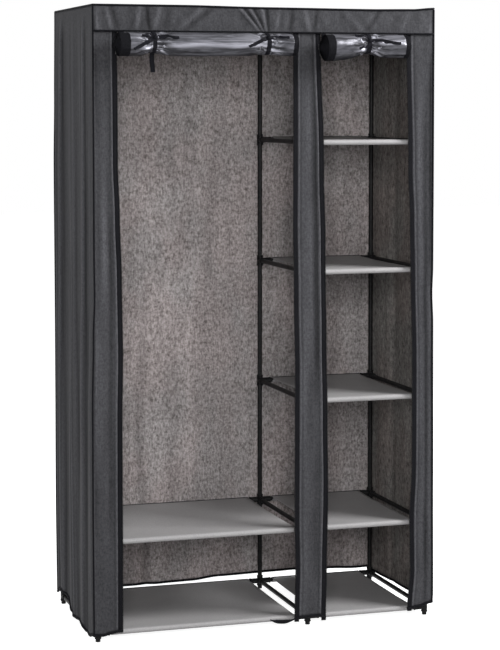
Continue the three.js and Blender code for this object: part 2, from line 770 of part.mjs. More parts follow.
// The flat part of a door between the seam and the back of its roll
function makeCurtain(name, stations, ends) {
  const radiusAt = (x) => {
    const next = Math.max(1, stations.findIndex((station) => station.x >= x));
    const [before, after] = [stations[next - 1], stations[next]];
    return mix(before.radius, after.radius, (x - before.x) / (after.x - before.x));
  };
  const inside = stations.map(({ x }) => x).filter((x) => x > ends[0] && x < ends[1]);
  const columns = [ends[0], ...inside, ends[1]];
  const at = (x, share) => {
    const bottom = rollCentre(radiusAt(x)).z + fitClearance;
    return new THREE.Vector3(x, curtainY, mix(bottom, underSeam, share));
  };
  const outward = new THREE.Vector3(0, -1, 0);
  place(name, panelGeometry(columns, [0, 1], outward, at, () => clothHalf), finishes.cover);
}

// A ribbon along a path in the plane across the roll, as a closed outline
function ribbonOutline(path) {
  const half = ribbonThickness / 2;
  const left = [];
  const right = [];
  path.forEach((point, k) => {
    const before = path[Math.max(k - 1, 0)];
    const after = path[Math.min(k + 1, path.length - 1)];
    const along = after.clone().sub(before).normalize();
    const across = new THREE.Vector2(-along.y, along.x).multiplyScalar(half);
    left.push(point.clone().add(across));
    right.push(point.clone().sub(across));
  });
  return [...left, ...right.reverse()];
}

// A flat ribbon through a few points in front of the roll, its width upright
function tailGeometry(points) {
  const halfWidth = ribbonWidth / 2;
  const halfThick = ribbonThickness / 2;
  const columns = points.map((_, k) => k);
  const at = (k, share) => {
    const rise = new THREE.Vector3(0, 0, mix(-halfWidth, halfWidth, share));
    return points[k].clone().add(rise);
  };
  return panelGeometry(columns, [0, 1], new THREE.Vector3(0, -1, 0), at, () => halfThick);
}

// A tie: sewn into the seam, round the roll and its curtain, knotted in front
function makeTie(name, x, radius, flareRadius, hanging) {
  const beside = rollCloth / 2 + ribbonGap + ribbonThickness / 2;
  const behind = curtainY + beside;
  const path = [new THREE.Vector2(behind, underSeam), new THREE.Vector2(behind, rollCentre(radius).z)];
  for (let k = 1; k <= bandSteps; k++) {
    path.push(spiralPoint(radius, (bandTurnShare * k) / bandSteps, beside));
  }
  const end = path[path.length - 1].clone();
  path.push(new THREE.Vector2(curtainY - beside - ribbonThickness, end.y));
  const halfWidth = ribbonWidth / 2;
  const band = extruded(new THREE.Shape(ribbonOutline(path)), "x", x - halfWidth, x + halfWidth);
  const knotAt = spiralPoint(radius, knotTurnShare, beside - ribbonThickness / 2 + knotRadius);
  const knot = new THREE.SphereGeometry(knotRadius, 8, 6).translate(x, knotAt.x, knotAt.y);
  const frontY = spiralPoint(flareRadius, 0.5, rollCloth / 2 + tailStandOff).x;
  const tail = (direction, drop) =>
    tailGeometry(
      [
        new THREE.Vector3(x, knotAt.x, knotAt.y),
        new THREE.Vector3(x + direction * tailBend, frontY, knotAt.y - drop / 2),
        new THREE.Vector3(x + direction * tailReach, frontY, knotAt.y - drop),
      ].sort((a, b) => a.x - b.x),
    );
  const pieces = [band, knot, tail(-1, tailDrop), tail(1, 0)];
  if (hanging) {
    const high = rollCentre(radius).z;
    const low = spiralPoint(radius, 0.25, 0).y - hangingTailLength;
    const corner = new THREE.Vector3(x - halfWidth, behind - ribbonThickness / 2, low);
    pieces.push(block(corner, new THREE.Vector3(x + halfWidth, behind + ribbonThickness / 2, high)));
  }
  place(name, geometryOf(joined(pieces)), finishes.ribbon);
}

function makeDoors() {
  const leftEdges = [strips.left.top[1], strips.middle.top[0]];
  const rightEdges = [strips.middle.top[1], strips.right.top[0]];
  const leftEnds = [leftEdges[0] - leftRollOverlap, leftEdges[1] - leftRollInset];
  const rightEnds = [rightEdges[0] - rightRollOverlap, rightEdges[1] - rightRollInset];
  const leftTies = [leftOuterTieShare, leftInnerTieShare];
  const leftStations = rollStations(leftEnds, leftRollRadius, leftRollShares, leftTies);
  const rightStations = rollStations(rightEnds, rightRollRadius, rightRollShares, [rightTieShare]);
  makeRoll("door_roll_left", leftStations);
  makeRoll("door_roll_right", rightStations);
  const clear = sliderGap + sliderWall + curtainSideGap;
  makeCurtain("door_curtain_left", leftStations, [leftEdges[0] + clear, leftEnds[1]]);
  makeCurtain("door_curtain_right", rightStations, [rightEdges[0] + clear, rightEnds[1]]);
  const radiusOf = (shares, along, radius) => radius * shares.find(([spot]) => spot === along)[1];
  const leftAt = (along) => [mix(...leftEnds, along), radiusOf(leftRollShares, along, leftRollRadius)];
  makeTie("tie_left_outer", ...leftAt(leftOuterTieShare), leftRollRadius, true);
  makeTie("tie_left_inner", ...leftAt(leftInnerTieShare), leftRollRadius, false);
  const rightTieRadius = radiusOf(rightRollShares, rightTieShare, rightRollRadius);
  const rightTieX = mix(...rightEnds, rightTieShare);
  makeTie("tie_right", rightTieX, rightTieRadius, rightRollRadius * rightRollShares[1][1], false);
}

makePosts();
makeRails();
makeRungs();
makeHangingRail();
makeShelves();
makeTopPanel();
makeSidePanel("cover_left_side", leftCoverX, -1, leftHemHeight);
makeSidePanel("cover_right_side", rightCoverX, 1, rightHemHeight);
makeBackPanel();
makeValance();
makeStrips();
makeSliders();
makeDoors();

// The origin is under the middle of the whole, on the floor
wardrobe.updateMatrixWorld(true);
const extent = new THREE.Box3().setFromObject(wardrobe, true);
wardrobe.position.x = -(extent.min.x + extent.max.x) / 2;
wardrobe.position.y = -(extent.min.y + extent.max.y) / 2;

export default wardrobe;
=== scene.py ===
import math

import bpy
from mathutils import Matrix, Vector, noise


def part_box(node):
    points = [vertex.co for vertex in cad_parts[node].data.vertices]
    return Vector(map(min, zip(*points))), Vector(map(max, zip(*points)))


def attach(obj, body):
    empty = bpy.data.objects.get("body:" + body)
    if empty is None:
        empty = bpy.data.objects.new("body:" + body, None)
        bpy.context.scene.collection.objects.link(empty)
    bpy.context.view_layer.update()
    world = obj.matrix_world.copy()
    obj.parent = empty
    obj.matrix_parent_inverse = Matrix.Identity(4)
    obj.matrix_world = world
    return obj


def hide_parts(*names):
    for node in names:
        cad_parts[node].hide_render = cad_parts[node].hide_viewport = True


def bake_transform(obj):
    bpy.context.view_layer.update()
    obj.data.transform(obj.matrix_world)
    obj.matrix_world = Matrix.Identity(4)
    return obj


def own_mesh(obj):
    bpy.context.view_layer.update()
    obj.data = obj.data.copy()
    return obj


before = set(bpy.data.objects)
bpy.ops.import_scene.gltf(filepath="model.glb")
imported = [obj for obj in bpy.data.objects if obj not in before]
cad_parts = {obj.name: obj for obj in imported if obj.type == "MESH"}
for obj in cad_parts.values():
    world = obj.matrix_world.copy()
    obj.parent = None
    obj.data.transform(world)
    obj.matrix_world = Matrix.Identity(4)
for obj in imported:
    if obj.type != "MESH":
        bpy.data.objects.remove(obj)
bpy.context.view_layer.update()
print("frame loaded:", len(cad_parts), "nodes")

scene = bpy.context.scene
scene.view_settings.view_transform = "Standard"
mm = 0.001


# Camera, lamps, floor and backdrop

cameraSetup = {
    "place": (-1.733, -5.479, 1.496),
    "turnRight": 17.68,  # degrees
    "tiltDown": 3.69,
    "lens": 110.63,
    "shiftUp": -0.15,
}

lampSetup = {
    "key": {"place": (2.5, -1.8, 3.3), "size": 1.5, "power": 195},
    "front": {"place": (-1.4, -5.3, 2.1), "size": 1.7, "power": 172},
    "side": {"place": (-3.2, 0.9, 2.9), "size": 1.2, "power": 40},
    "rear": {"place": (1.2, 4.0, 2.4), "size": 2.4, "power": 70},
}
lampTarget = (0, 0, 0.9)
studioLight = 0.24  # even light from all round
floorSetup = {
    "size": 40,  # metres
    "grey": 0.55,
    "roughness": 0.9,
    "gloss": 0.1,
    "glow": 0.9,  # added where the camera sees the floor, so that it is white
}


def makeCamera():
    turn = math.radians(cameraSetup["turnRight"])
    tilt = math.radians(90 - cameraSetup["tiltDown"])
    bpy.ops.object.camera_add(location=cameraSetup["place"], rotation=(tilt, 0, -turn))
    camera = bpy.context.active_object
    camera.name = "productCamera"
    camera.data.lens = cameraSetup["lens"]
    camera.data.shift_y = cameraSetup["shiftUp"]
    scene.camera = camera


def makeLamps():
    target = Vector(lampTarget)
    for name, lamp in lampSetup.items():
        bpy.ops.object.light_add(type="AREA", location=lamp["place"])
        light = bpy.context.active_object
        light.name = name + "Lamp"
        light.data.shape = "SQUARE"
        light.data.size = lamp["size"]
        light.data.energy = lamp["power"]
        light.rotation_euler = (target - light.location).to_track_quat("-Z", "Y").to_euler()


def mathNode(nodes, links, operation, first, second=None, third=None):
    node = nodes.new("ShaderNodeMath")
    node.operation = operation
    for index, value in enumerate((first, second, third)):
        if value is None:
            continue
        if isinstance(value, (int, float)):
            node.inputs[index].default_value = value
        else:
            links.new(value, node.inputs[index])
    return node.outputs[0]


def seenDirectly(nodes, links):
    # 1 where the camera, a reflection or glass sees it, and 0 for the light that it gives
    path = nodes.new("ShaderNodeLightPath")
    seen = mathNode(nodes, links, "MAXIMUM", path.outputs["Is Camera Ray"], path.outputs["Is Glossy Ray"])
    return mathNode(nodes, links, "MAXIMUM", seen, path.outputs["Is Transmission Ray"])


def makeWorld():
    world = bpy.data.worlds.new("studio")
    scene.world = world
    world.use_nodes = True
    nodes, links = world.node_tree.nodes, world.node_tree.links
    nodes.clear()
    light = nodes.new("ShaderNodeBackground")
    light.inputs["Color"].default_value = (1, 1, 1, 1)
    light.inputs["Strength"].default_value = studioLight
    backdrop = nodes.new("ShaderNodeBackground")
    backdrop.inputs["Color"].default_value = (1, 1, 1, 1)
    mix = nodes.new("ShaderNodeMixShader")
    links.new(seenDirectly(nodes, links), mix.inputs[0])
    links.new(light.outputs[0], mix.inputs[1])
    links.new(backdrop.outputs[0], mix.inputs[2])
    output = nodes.new("ShaderNodeOutputWorld")
    links.new(mix.outputs[0], output.inputs["Surface"])


def makeFloor():
    bpy.ops.mesh.primitive_plane_add(size=floorSetup["size"], location=(0, 0, 0))
    floor = bpy.context.active_object
    floor.name = "studioFloor"
    material = bpy.data.materials.new("studioFloor")
    material.use_nodes = True
    nodes, links = material.node_tree.nodes, material.node_tree.links
    shader = nodes["Principled BSDF"]
    grey = floorSetup["grey"]
    shader.inputs["Base Color"].default_value = (grey, grey, grey, 1)
    shader.inputs["Roughness"].default_value = floorSetup["roughness"]
    shader.inputs["Specular IOR Level"].default_value = floorSetup["gloss"]
    shader.inputs["Emission Color"].default_value = (1, 1, 1, 1)
    glow = mathNode(nodes, links, "MULTIPLY", seenDirectly(nodes, links), floorSetup["glow"])
    links.new(glow, shader.inputs["Emission Strength"])
    floor.data.materials.append(material)


makeCamera()
makeLamps()
makeWorld()
makeFloor()
print("camera, lamps and floor are set")


# Small helpers for modelling

def deselectAll():
    bpy.ops.object.select_all(action="DESELECT")


def takeActive(name):
    piece = bpy.context.active_object
    piece.name = name
    piece.data.name = name
    return piece


def makeActive(piece):
    deselectAll()
    piece.select_set(True)
    bpy.context.view_layer.objects.active = piece


def useModifier(piece, kind, **settings):
    makeActive(piece)
    modifier = piece.modifiers.new(kind.lower(), kind)
    for setting, value in settings.items():
        setattr(modifier, setting, value)
    bpy.ops.object.modifier_apply(modifier=modifier.name)


def paint(piece, *materials):
    piece.data.materials.clear()
    for material in materials:
        piece.data.materials.append(material)


def settle(piece, body, nodes=(), angle=None):
    # Place in the mesh, smooth shading, and the body and nodes that it belongs to
    makeActive(piece)
    bpy.ops.object.transform_apply(location=True, rotation=True, scale=True)
    if angle is None:
        bpy.ops.object.shade_smooth()
    else:
        bpy.ops.object.shade_smooth_by_angle(angle=math.radians(angle))
    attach(piece, body)
    if nodes:
        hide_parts(*nodes)


def joinPieces(pieces, name):
    deselectAll()
    for piece in pieces:
        piece.select_set(True)
    bpy.context.view_layer.objects.active = pieces[0]
    bpy.ops.object.join()
    return takeActive(name)


def uniteWith(piece, other):
    # One closed solid from two
    useModifier(piece, "BOOLEAN", operation="UNION", solver="EXACT", object=other)
    bpy.data.objects.remove(other)


def blendTable(table, at):
    # Smooth curve through a short table of (place, value)
    if at <= table[0][0]:
        return table[0][1]
    for (nearAt, near), (farAt, far) in zip(table, table[1:]):
        if at <= farAt:
            share = (at - nearAt) / (farAt - nearAt)
            return near + (far - near) * share * share * (3 - 2 * share)
    return table[-1][1]


def soft(value):
    # 0 to 1 with a smooth start and end
    value = max(0.0, min(1.0, value))
    return value * value * (3 - 2 * value)


def within(value, low, high, edge):
    # 1 between low and high, with a soft stretch down to 0 at either end
    return soft((value - low) / edge) * soft((high - value) / edge)


def bump(at, centre, width):
    return math.exp(-(((at - centre) / width) ** 2))


def clothGrid(name, columns, rows, at):
    # A flat grid laid where at(across, up) says; both run from 0 to 1
    deselectAll()
    bpy.ops.mesh.primitive_grid_add(x_subdivisions=columns, y_subdivisions=rows, size=2)
    piece = takeActive(name)
    wide = sum(1 for vertex in piece.data.vertices if vertex.co.y < -0.9999)
    for vertex in piece.data.vertices:
        vertex.co = at((vertex.co.x + 1) / 2, (vertex.co.y + 1) / 2)
    markCreases(piece, wide)
    return piece


# How far markCreases looks, and the height that it counts as 1
creaseReaches = ((6 * mm, 1.2 * mm), (20 * mm, 5.5 * mm))


def markCreases(piece, wide):
    # How far each point stands out from those beside it: 1 on a sharp ridge, -1 in a sharp hollow
    piece.data.update()
    points = piece.data.vertices
    tall = len(points) // wide
    between = (points[wide // 2 + 1].co - points[wide // 2].co).length
    marks = piece.data.attributes.new("crease", "FLOAT", "POINT")
    for index, mark in enumerate(marks.data):
        column = index % wide
        if not 0 < column < wide - 1 or not 0 < index // wide < tall - 1:
            continue
        out = 0.0
        for reach, height in creaseReaches:
            step = min(max(1, round(reach / between)), column, wide - 1 - column)
            beside = (points[index - step].co + points[index + step].co) / 2
            out += (points[index].co - beside).dot(points[index].normal) / height
        mark.value = max(-1.0, min(1.0, out))


def giveThickness(piece, thickness, innerOffset=1):
    useModifier(piece, "SOLIDIFY", thickness=thickness, offset=-1,
                material_offset=innerOffset, material_offset_rim=0)


def pipeAlong(name, points, radius):
    # A round cord of cloth through a list of points
    deselectAll()
    bpy.ops.curve.primitive_bezier_curve_add(location=(0, 0, 0))
    pipe = takeActive(name)
    curve = pipe.data
    curve.splines.clear()
    spline = curve.splines.new("POLY")
    spline.points.add(len(points) - 1)
    for target, point in zip(spline.points, points):
        target.co = (*point, 1)
    curve.bevel_depth = radius
    curve.bevel_resolution = 3
    curve.use_fill_caps = True
    bpy.ops.object.convert(target="MESH")
    return takeActive(name)


def makeBinding(name, points, radius):
    # Black tape sewn along an edge or a seam; along the rear of each shelf it is a black cord of painted
    # shadow
    binding = pipeAlong(name, points, radius)
    paint(binding, blackTape)
    settle(binding, "wardrobe")


ribbonThick = 0.7 * mm


def ribbonAlong(name, points, widths, widthway):
    # Flat ribbon through a few points, its width along the given direction at each
    rows = len(points) - 1

    def at(across, along):
        index = round(along * rows)
        return points[index] + widthway[index] * widths[index] * (across - 0.5)

    ribbon = clothGrid(name, 4, rows, at)
    useModifier(ribbon, "SOLIDIFY", thickness=ribbonThick, offset=0)
    return ribbon


def curveThrough(points, steps):
    # Smooth curve that passes through its points
    path = [points[0]] + list(points) + [points[-1]]
    found = []
    for a, b, c, d in zip(path, path[1:], path[2:], path[3:]):
        for k in range(steps):
            t = k / steps
            found.append(0.5 * ((2 * b) + (c - a) * t + (2 * a - 5 * b + 4 * c - d) * t * t
                                + (3 * b - a - 3 * c + d) * t ** 3))
    found.append(points[-1])
    return found


def straightBar(name, radius, start, end, corners=28, roundOff=0.5 * mm):
    # A bar between two points along an axis, its ends rounded off
    start, end = Vector(start), Vector(end)
    along = end - start
    deselectAll()
    bpy.ops.mesh.primitive_cylinder_add(
        vertices=corners, radius=radius, depth=along.length,
        location=(start + end) / 2, rotation=along.to_track_quat("Z", "Y").to_euler())
    bar = takeActive(name)
    bpy.ops.object.transform_apply(location=True, rotation=True, scale=True)
    if roundOff:
        useModifier(bar, "BEVEL", width=roundOff, segments=2, limit_method="ANGLE")
    return bar


def makeBlock(name, size, place, roundOff, segments=2):
    deselectAll()
    bpy.ops.mesh.primitive_cube_add(size=1, location=place)
    block = takeActive(name)
    block.scale = size
    bpy.ops.object.transform_apply(location=True, rotation=True, scale=True)
    useModifier(block, "BEVEL", width=roundOff, segments=segments)
    return block


# Shader groups that several finishes share

def newGroup(name, inputs, outputs):
    group = bpy.data.node_groups.new(name, "ShaderNodeTree")
    for label, kind, value in inputs:
        socket = group.interface.new_socket(name=label, in_out="INPUT", socket_type=kind)
        if value is not None:
            socket.default_value = value
    for label, kind in outputs:
        group.interface.new_socket(name=label, in_out="OUTPUT", socket_type=kind)
    nodes, links = group.nodes, group.links
    return group, nodes, links, nodes.new("NodeGroupInput"), nodes.new("NodeGroupOutput")


def scaledNoise(nodes, links, vector, scale, detail, roughness, stretch=None):
    if stretch:
        mapping = nodes.new("ShaderNodeMapping")
        mapping.inputs["Scale"].default_value = stretch
        links.new(vector, mapping.inputs["Vector"])
        vector = mapping.outputs[0]
    texture = nodes.new("ShaderNodeTexNoise")
    texture.inputs["Detail"].default_value = detail
    texture.inputs["Roughness"].default_value = roughness
    if isinstance(scale, (int, float)):
        texture.inputs["Scale"].default_value = scale
    else:
        links.new(scale, texture.inputs["Scale"])
    links.new(vector, texture.inputs["Vector"])
    return texture.outputs["Fac"]


def levels(nodes, links, value, low, high, newLow=0.0, newHigh=1.0):
    node = nodes.new("ShaderNodeMapRange")
    node.inputs["From Min"].default_value = low
    node.inputs["From Max"].default_value = high
    node.inputs["To Min"].default_value = newLow
    node.inputs["To Max"].default_value = newHigh
    links.new(value, node.inputs["Value"])
    return node.outputs[0]


def makeFibreGroup():
    # Matted fibres of non-woven cloth: a light and dark fleck mask, and a fine height
    group, nodes, links, source, target = newGroup(
        "mattedFibres",
        [("Vector", "NodeSocketVector", None), ("Fleck Scale", "NodeSocketFloat", 90.0),
         ("Fibre Scale", "NodeSocketFloat", 420.0)],
        [("Fleck", "NodeSocketFloat"), ("Height", "NodeSocketFloat")])
    vector, coarse = source.outputs["Vector"], source.outputs["Fleck Scale"]
    upright = scaledNoise(nodes, links, vector, coarse, detail=4, roughness=0.6, stretch=(1.0, 1.0, 0.42))
    lying = scaledNoise(nodes, links, vector, coarse, detail=3, roughness=0.6, stretch=(0.55, 0.55, 0.8))
    fine = scaledNoise(nodes, links, vector, source.outputs["Fibre Scale"], detail=3, roughness=0.6,
                       stretch=(1.0, 1.0, 0.5))
    most = mathNode(nodes, links, "MULTIPLY", upright, 0.75)
    both = mathNode(nodes, links, "MULTIPLY_ADD", lying, 0.45, most)
    fleck = mathNode(nodes, links, "MULTIPLY_ADD", fine, 0.45, both)
    links.new(levels(nodes, links, fleck, 0.64, 1.0), target.inputs["Fleck"])
    links.new(mathNode(nodes, links, "MULTIPLY_ADD", fine, 0.6, both), target.inputs["Height"])
    return group


def makeEmbossGroup():
    # Rows of tiny pressed points, as the roller leaves them in spun-bonded cloth
    group, nodes, links, source, target = newGroup(
        "pressedPoints",
        [("Vector", "NodeSocketVector", None), ("Points Per Metre", "NodeSocketFloat", 520.0)],
        [("Height", "NodeSocketFloat"), ("Mask", "NodeSocketFloat")])
    points = nodes.new("ShaderNodeTexVoronoi")
    points.inputs["Randomness"].default_value = 0.12
    links.new(source.outputs["Vector"], points.inputs["Vector"])
    links.new(source.outputs["Points Per Metre"], points.inputs["Scale"])
    height = levels(nodes, links, points.outputs["Distance"], 0.18, 0.42)
    links.new(height, target.inputs["Height"])
    links.new(mathNode(nodes, links, "SUBTRACT", 1.0, height), target.inputs["Mask"])
    return group


def makeCloudGroup():
    # Slow changes of tone over a whole panel, with faint handling marks
    group, nodes, links, source, target = newGroup(
        "slowTone",
        [("Vector", "NodeSocketVector", None), ("Cloud Scale", "NodeSocketFloat", 4.0),
         ("Strength", "NodeSocketFloat", 0.2)],
        [("Tone", "NodeSocketFloat"), ("Marks", "NodeSocketFloat")])
    vector = source.outputs["Vector"]
    slow = scaledNoise(nodes, links, vector, source.outputs["Cloud Scale"], detail=4, roughness=0.55)
    centred = mathNode(nodes, links, "SUBTRACT", slow, 0.5)
    swing = mathNode(nodes, links, "MULTIPLY", centred, source.outputs["Strength"])
    links.new(mathNode(nodes, links, "MULTIPLY_ADD", swing, 2.0, 1.0), target.inputs["Tone"])
    marks = scaledNoise(nodes, links, vector, 38, detail=5, roughness=0.7, stretch=(1, 1, 0.35))
    links.new(levels(nodes, links, marks, 0.55, 0.75), target.inputs["Marks"])
    return group


def makeTwillGroup():
    # Diagonal ribs of woven tape
    group, nodes, links, source, target = newGroup(
        "twillRibs",
        [("Vector", "NodeSocketVector", None), ("Ribs Per Metre", "NodeSocketFloat", 900.0)],
        [("Height", "NodeSocketFloat")])
    wave = nodes.new("ShaderNodeTexWave")
    wave.bands_direction = "DIAGONAL"
    wave.inputs["Distortion"].default_value = 0.6
    links.new(source.outputs["Vector"], wave.inputs["Vector"])
    links.new(source.outputs["Ribs Per Metre"], wave.inputs["Scale"])
    links.new(wave.outputs["Fac"], target.inputs["Height"])
    return group


def makeWearGroup():
    # Rubbed edges and dust on hard parts
    group, nodes, links, source, target = newGroup(
        "rubbedEdges",
        [("Vector", "NodeSocketVector", None), ("Amount", "NodeSocketFloat", 0.5)],
        [("Edge", "NodeSocketFloat"), ("Dust", "NodeSocketFloat")])
    geometry = nodes.new("ShaderNodeNewGeometry")
    edge = levels(nodes, links, geometry.outputs["Pointiness"], 0.52, 0.62)
    patches = scaledNoise(nodes, links, source.outputs["Vector"], 140, detail=4, roughness=0.7)
    rubbed = mathNode(nodes, links, "MULTIPLY", edge, levels(nodes, links, patches, 0.42, 0.62))
    links.new(mathNode(nodes, links, "MULTIPLY", rubbed, source.outputs["Amount"]), target.inputs["Edge"])
    dust = scaledNoise(nodes, links, source.outputs["Vector"], 24, detail=6, roughness=0.65)
    links.new(levels(nodes, links, dust, 0.45, 0.8), target.inputs["Dust"])
    return group


fibreGroup = makeFibreGroup()
embossGroup = makeEmbossGroup()
cloudGroup = makeCloudGroup()
twillGroup = makeTwillGroup()
wearGroup = makeWearGroup()


def startMaterial(name, roughness, **constants):
    material = bpy.data.materials.new(name)
    material.use_nodes = True
    nodes, links = material.node_tree.nodes, material.node_tree.links
    shader = nodes["Principled BSDF"]
    shader.inputs["Roughness"].default_value = roughness
    for socket, value in constants.items():
        shader.inputs[socket.replace("_", " ")].default_value = value
    coordinates = nodes.new("ShaderNodeTexCoord")
    return material, nodes, links, shader, coordinates.outputs["Object"]


def placeGroup(nodes, links, group, vector, **values):
    node = nodes.new("ShaderNodeGroup")
    node.node_tree = group
    links.new(vector, node.inputs["Vector"])
    for label, value in values.items():
        node.inputs[label.replace("_", " ")].default_value = value
    return node.outputs


def mixColours(nodes, links, factor, first, second, kind="MIX"):
    node = nodes.new("ShaderNodeMix")
    node.data_type = "RGBA"
    node.blend_type = kind
    for socket, value in ((node.inputs[0], factor), (node.inputs[6], first), (node.inputs[7], second)):
        if isinstance(value, (int, float)):
            socket.default_value = value
        elif isinstance(value, tuple):
            socket.default_value = (*value, 1)
        else:
            links.new(value, socket)
    return node.outputs[2]


def toned(nodes, links, colour, tone):
    # Colour made lighter or darker by a number around 1
    node = nodes.new("ShaderNodeVectorMath")
    node.operation = "SCALE"
    links.new(colour, node.inputs[0])
    links.new(tone, node.inputs["Scale"])
    return node.outputs[0]


def creaseMarks(nodes):
    # The marks that clothGrid leaves on the points of a sheet, which the cloths turn into painted shade and
    # painted highlight; on the rolls makeRoll writes its painted shine over them
    marks = nodes.new("ShaderNodeAttribute")
    marks.attribute_name = "crease"
    return marks.outputs["Fac"]


def creaseShadeAndHighlight(nodes, links, strength):
    # Painted light along the creases: a painted highlight on the ridges and painted shade in the hollows
    # where strength is above 0
    return mathNode(nodes, links, "MULTIPLY_ADD", creaseMarks(nodes), strength, 1.0)


def bumpInto(nodes, links, shader, height, strength, distance):
    node = nodes.new("ShaderNodeBump")
    node.inputs["Strength"].default_value = strength
    node.inputs["Distance"].default_value = distance
    links.new(height, node.inputs["Height"])
    links.new(node.outputs[0], shader.inputs["Normal"])


def placeClothGroups(nodes, links, place, look):
    # Matted fibres, pressed points and slow changes of tone, at the scales of that cloth
    fibres = placeGroup(nodes, links, fibreGroup, place, Fleck_Scale=look["fleckScale"],
                        Fibre_Scale=look["fibreScale"])
    points = placeGroup(nodes, links, embossGroup, place, Points_Per_Metre=look["pointsPerMetre"])
    cloud = placeGroup(nodes, links, cloudGroup, place, Cloud_Scale=look["cloudScale"],
                       Strength=look["clouds"])
    return fibres, points, cloud


coverLook = {
    "dark": (0.029, 0.029, 0.032),
    "light": (0.0575, 0.0575, 0.0625),
    "pressed": (0.026, 0.026, 0.029),  # in the embossed points
    "roughness": 0.60,
    # painted highlight on the ridges of the creases, painted shade in their hollows
    "creaseShadeStrength": 0.62,
    "fleckScale": 260.0,
    "fibreScale": 900.0,
    "pointsPerMetre": 560.0,
    "cloudScale": 3.2,
    "clouds": 0.22,
}


def makeCoverCloth():
    material, nodes, links, shader, place = startMaterial(
        "coverCloth", coverLook["roughness"], Specular_IOR_Level=0.03)
    fibres, points, cloud = placeClothGroups(nodes, links, place, coverLook)
    base = mixColours(nodes, links, fibres["Fleck"], coverLook["dark"], coverLook["light"])
    pressed = mixColours(nodes, links, mathNode(nodes, links, "MULTIPLY", points["Mask"], 0.35),
                         base, coverLook["pressed"])
    # Random slow tone, times the painted shade and painted highlight along the creases
    tone = mathNode(nodes, links, "MULTIPLY", cloud["Tone"], creaseShadeAndHighlight(nodes, links, coverLook["creaseShadeStrength"]))
    links.new(toned(nodes, links, pressed, tone), shader.inputs["Base Color"])
    rough = mathNode(nodes, links, "MULTIPLY_ADD", cloud["Marks"], -0.10, coverLook["roughness"])
    links.new(rough, shader.inputs["Roughness"])
    height = mathNode(nodes, links, "MULTIPLY_ADD", points["Height"], 0.7, fibres["Height"])
    bumpInto(nodes, links, shader, height, 0.35, 0.25 * mm)
    return material


innerLook = {
    # Two copies of the same inner face of the cover: the back's is lighter, painted light, and the one for
    # the sides, top, valance and strips darker, painted shade
    "back": {"dark": (0.115, 0.102, 0.099), "light": (0.42, 0.387, 0.387), "fleckScale": 190.0,
             "warm": (1.02, 0.99, 0.985), "cool": (0.985, 1.0, 1.0), "clouds": 0.38},
    "side": {"dark": (0.080, 0.074, 0.070), "light": (0.280, 0.262, 0.252), "fleckScale": 130.0,
             "warm": (1.03, 0.985, 0.97), "cool": (0.98, 1.005, 1.0), "clouds": 0.42},
    "roughness": 0.85,
    # painted shade in the hollows of the inner face and painted highlight on its ridges, as the marks are
    # measured from the outer face
    "creaseShadeStrength": -0.25,
    "fibreScale": 420.0,
    "cloudScale": 4.5,
}


def makeInnerCloth(name, look):
    # Uncoated inner face, with its matted fibres showing
    material, nodes, links, shader, place = startMaterial(
        name, innerLook["roughness"], Specular_IOR_Level=0.03)
    fibres = placeGroup(nodes, links, fibreGroup, place, Fleck_Scale=look["fleckScale"],
                        Fibre_Scale=innerLook["fibreScale"])
    cloud = placeGroup(nodes, links, cloudGroup, place, Cloud_Scale=innerLook["cloudScale"],
                       Strength=look["clouds"])
    base = mixColours(nodes, links, fibres["Fleck"], look["dark"], look["light"])
    # Long faint streaks, and patches that lean to brown or to grey-green
    long = scaledNoise(nodes, links, place, 34, detail=3, roughness=0.6, stretch=(1, 1, 0.06))
    streaks = levels(nodes, links, long, 0.3, 0.7, 0.90, 1.10)
    wide = scaledNoise(nodes, links, place, 7.5, detail=3, roughness=0.5, stretch=(1, 1, 0.6))
    patches = levels(nodes, links, wide, 0.42, 0.60)
    tint = mixColours(nodes, links, patches, look["warm"], look["cool"])
    tinted = mixColours(nodes, links, 1.0, base, tint, "MULTIPLY")
    tone = mathNode(nodes, links, "MULTIPLY", cloud["Tone"], streaks)
    # Painted shade and painted highlight along the creases of the inner face
    tone = mathNode(nodes, links, "MULTIPLY", tone, creaseShadeAndHighlight(nodes, links, innerLook["creaseShadeStrength"]))
    links.new(toned(nodes, links, tinted, tone), shader.inputs["Base Color"])
    bumpInto(nodes, links, shader, fibres["Height"], 0.5, 0.35 * mm)
    return material


shelfLook = {"dark": (0.247, 0.242, 0.244), "light": (0.328, 0.321, 0.324), "roughness": 0.5,
             "fleckScale": 420.0, "fibreScale": 1300.0, "pointsPerMetre": 640.0, "cloudScale": 6.0,
             "clouds": 0.12}


def makeShelfCloth():
    material, nodes, links, shader, place = startMaterial(
        "shelfCloth", shelfLook["roughness"], Specular_IOR_Level=0.2)
    fibres, points, cloud = placeClothGroups(nodes, links, place, shelfLook)
    base = mixColours(nodes, links, fibres["Fleck"], shelfLook["dark"], shelfLook["light"])
    pressed = mixColours(nodes, links, mathNode(nodes, links, "MULTIPLY", points["Mask"], 0.2),
                         base, shelfLook["dark"])
    links.new(toned(nodes, links, pressed, cloud["Tone"]), shader.inputs["Base Color"])
    height = mathNode(nodes, links, "MULTIPLY_ADD", points["Height"], 0.5, fibres["Height"])
    bumpInto(nodes, links, shader, height, 0.25, 0.2 * mm)
    return material


# dark and light are the two ends of the painted shade and painted highlight on the rolls
liningLook = {"dark": (0.016, 0.016, 0.020), "light": (0.28, 0.28, 0.32), "roughness": 0.38, "metallic": 0.35,
              "fleckScale": 500.0, "fibreScale": 1500.0, "pointsPerMetre": 700.0, "cloudScale": 14.0,
              "clouds": 0.15}


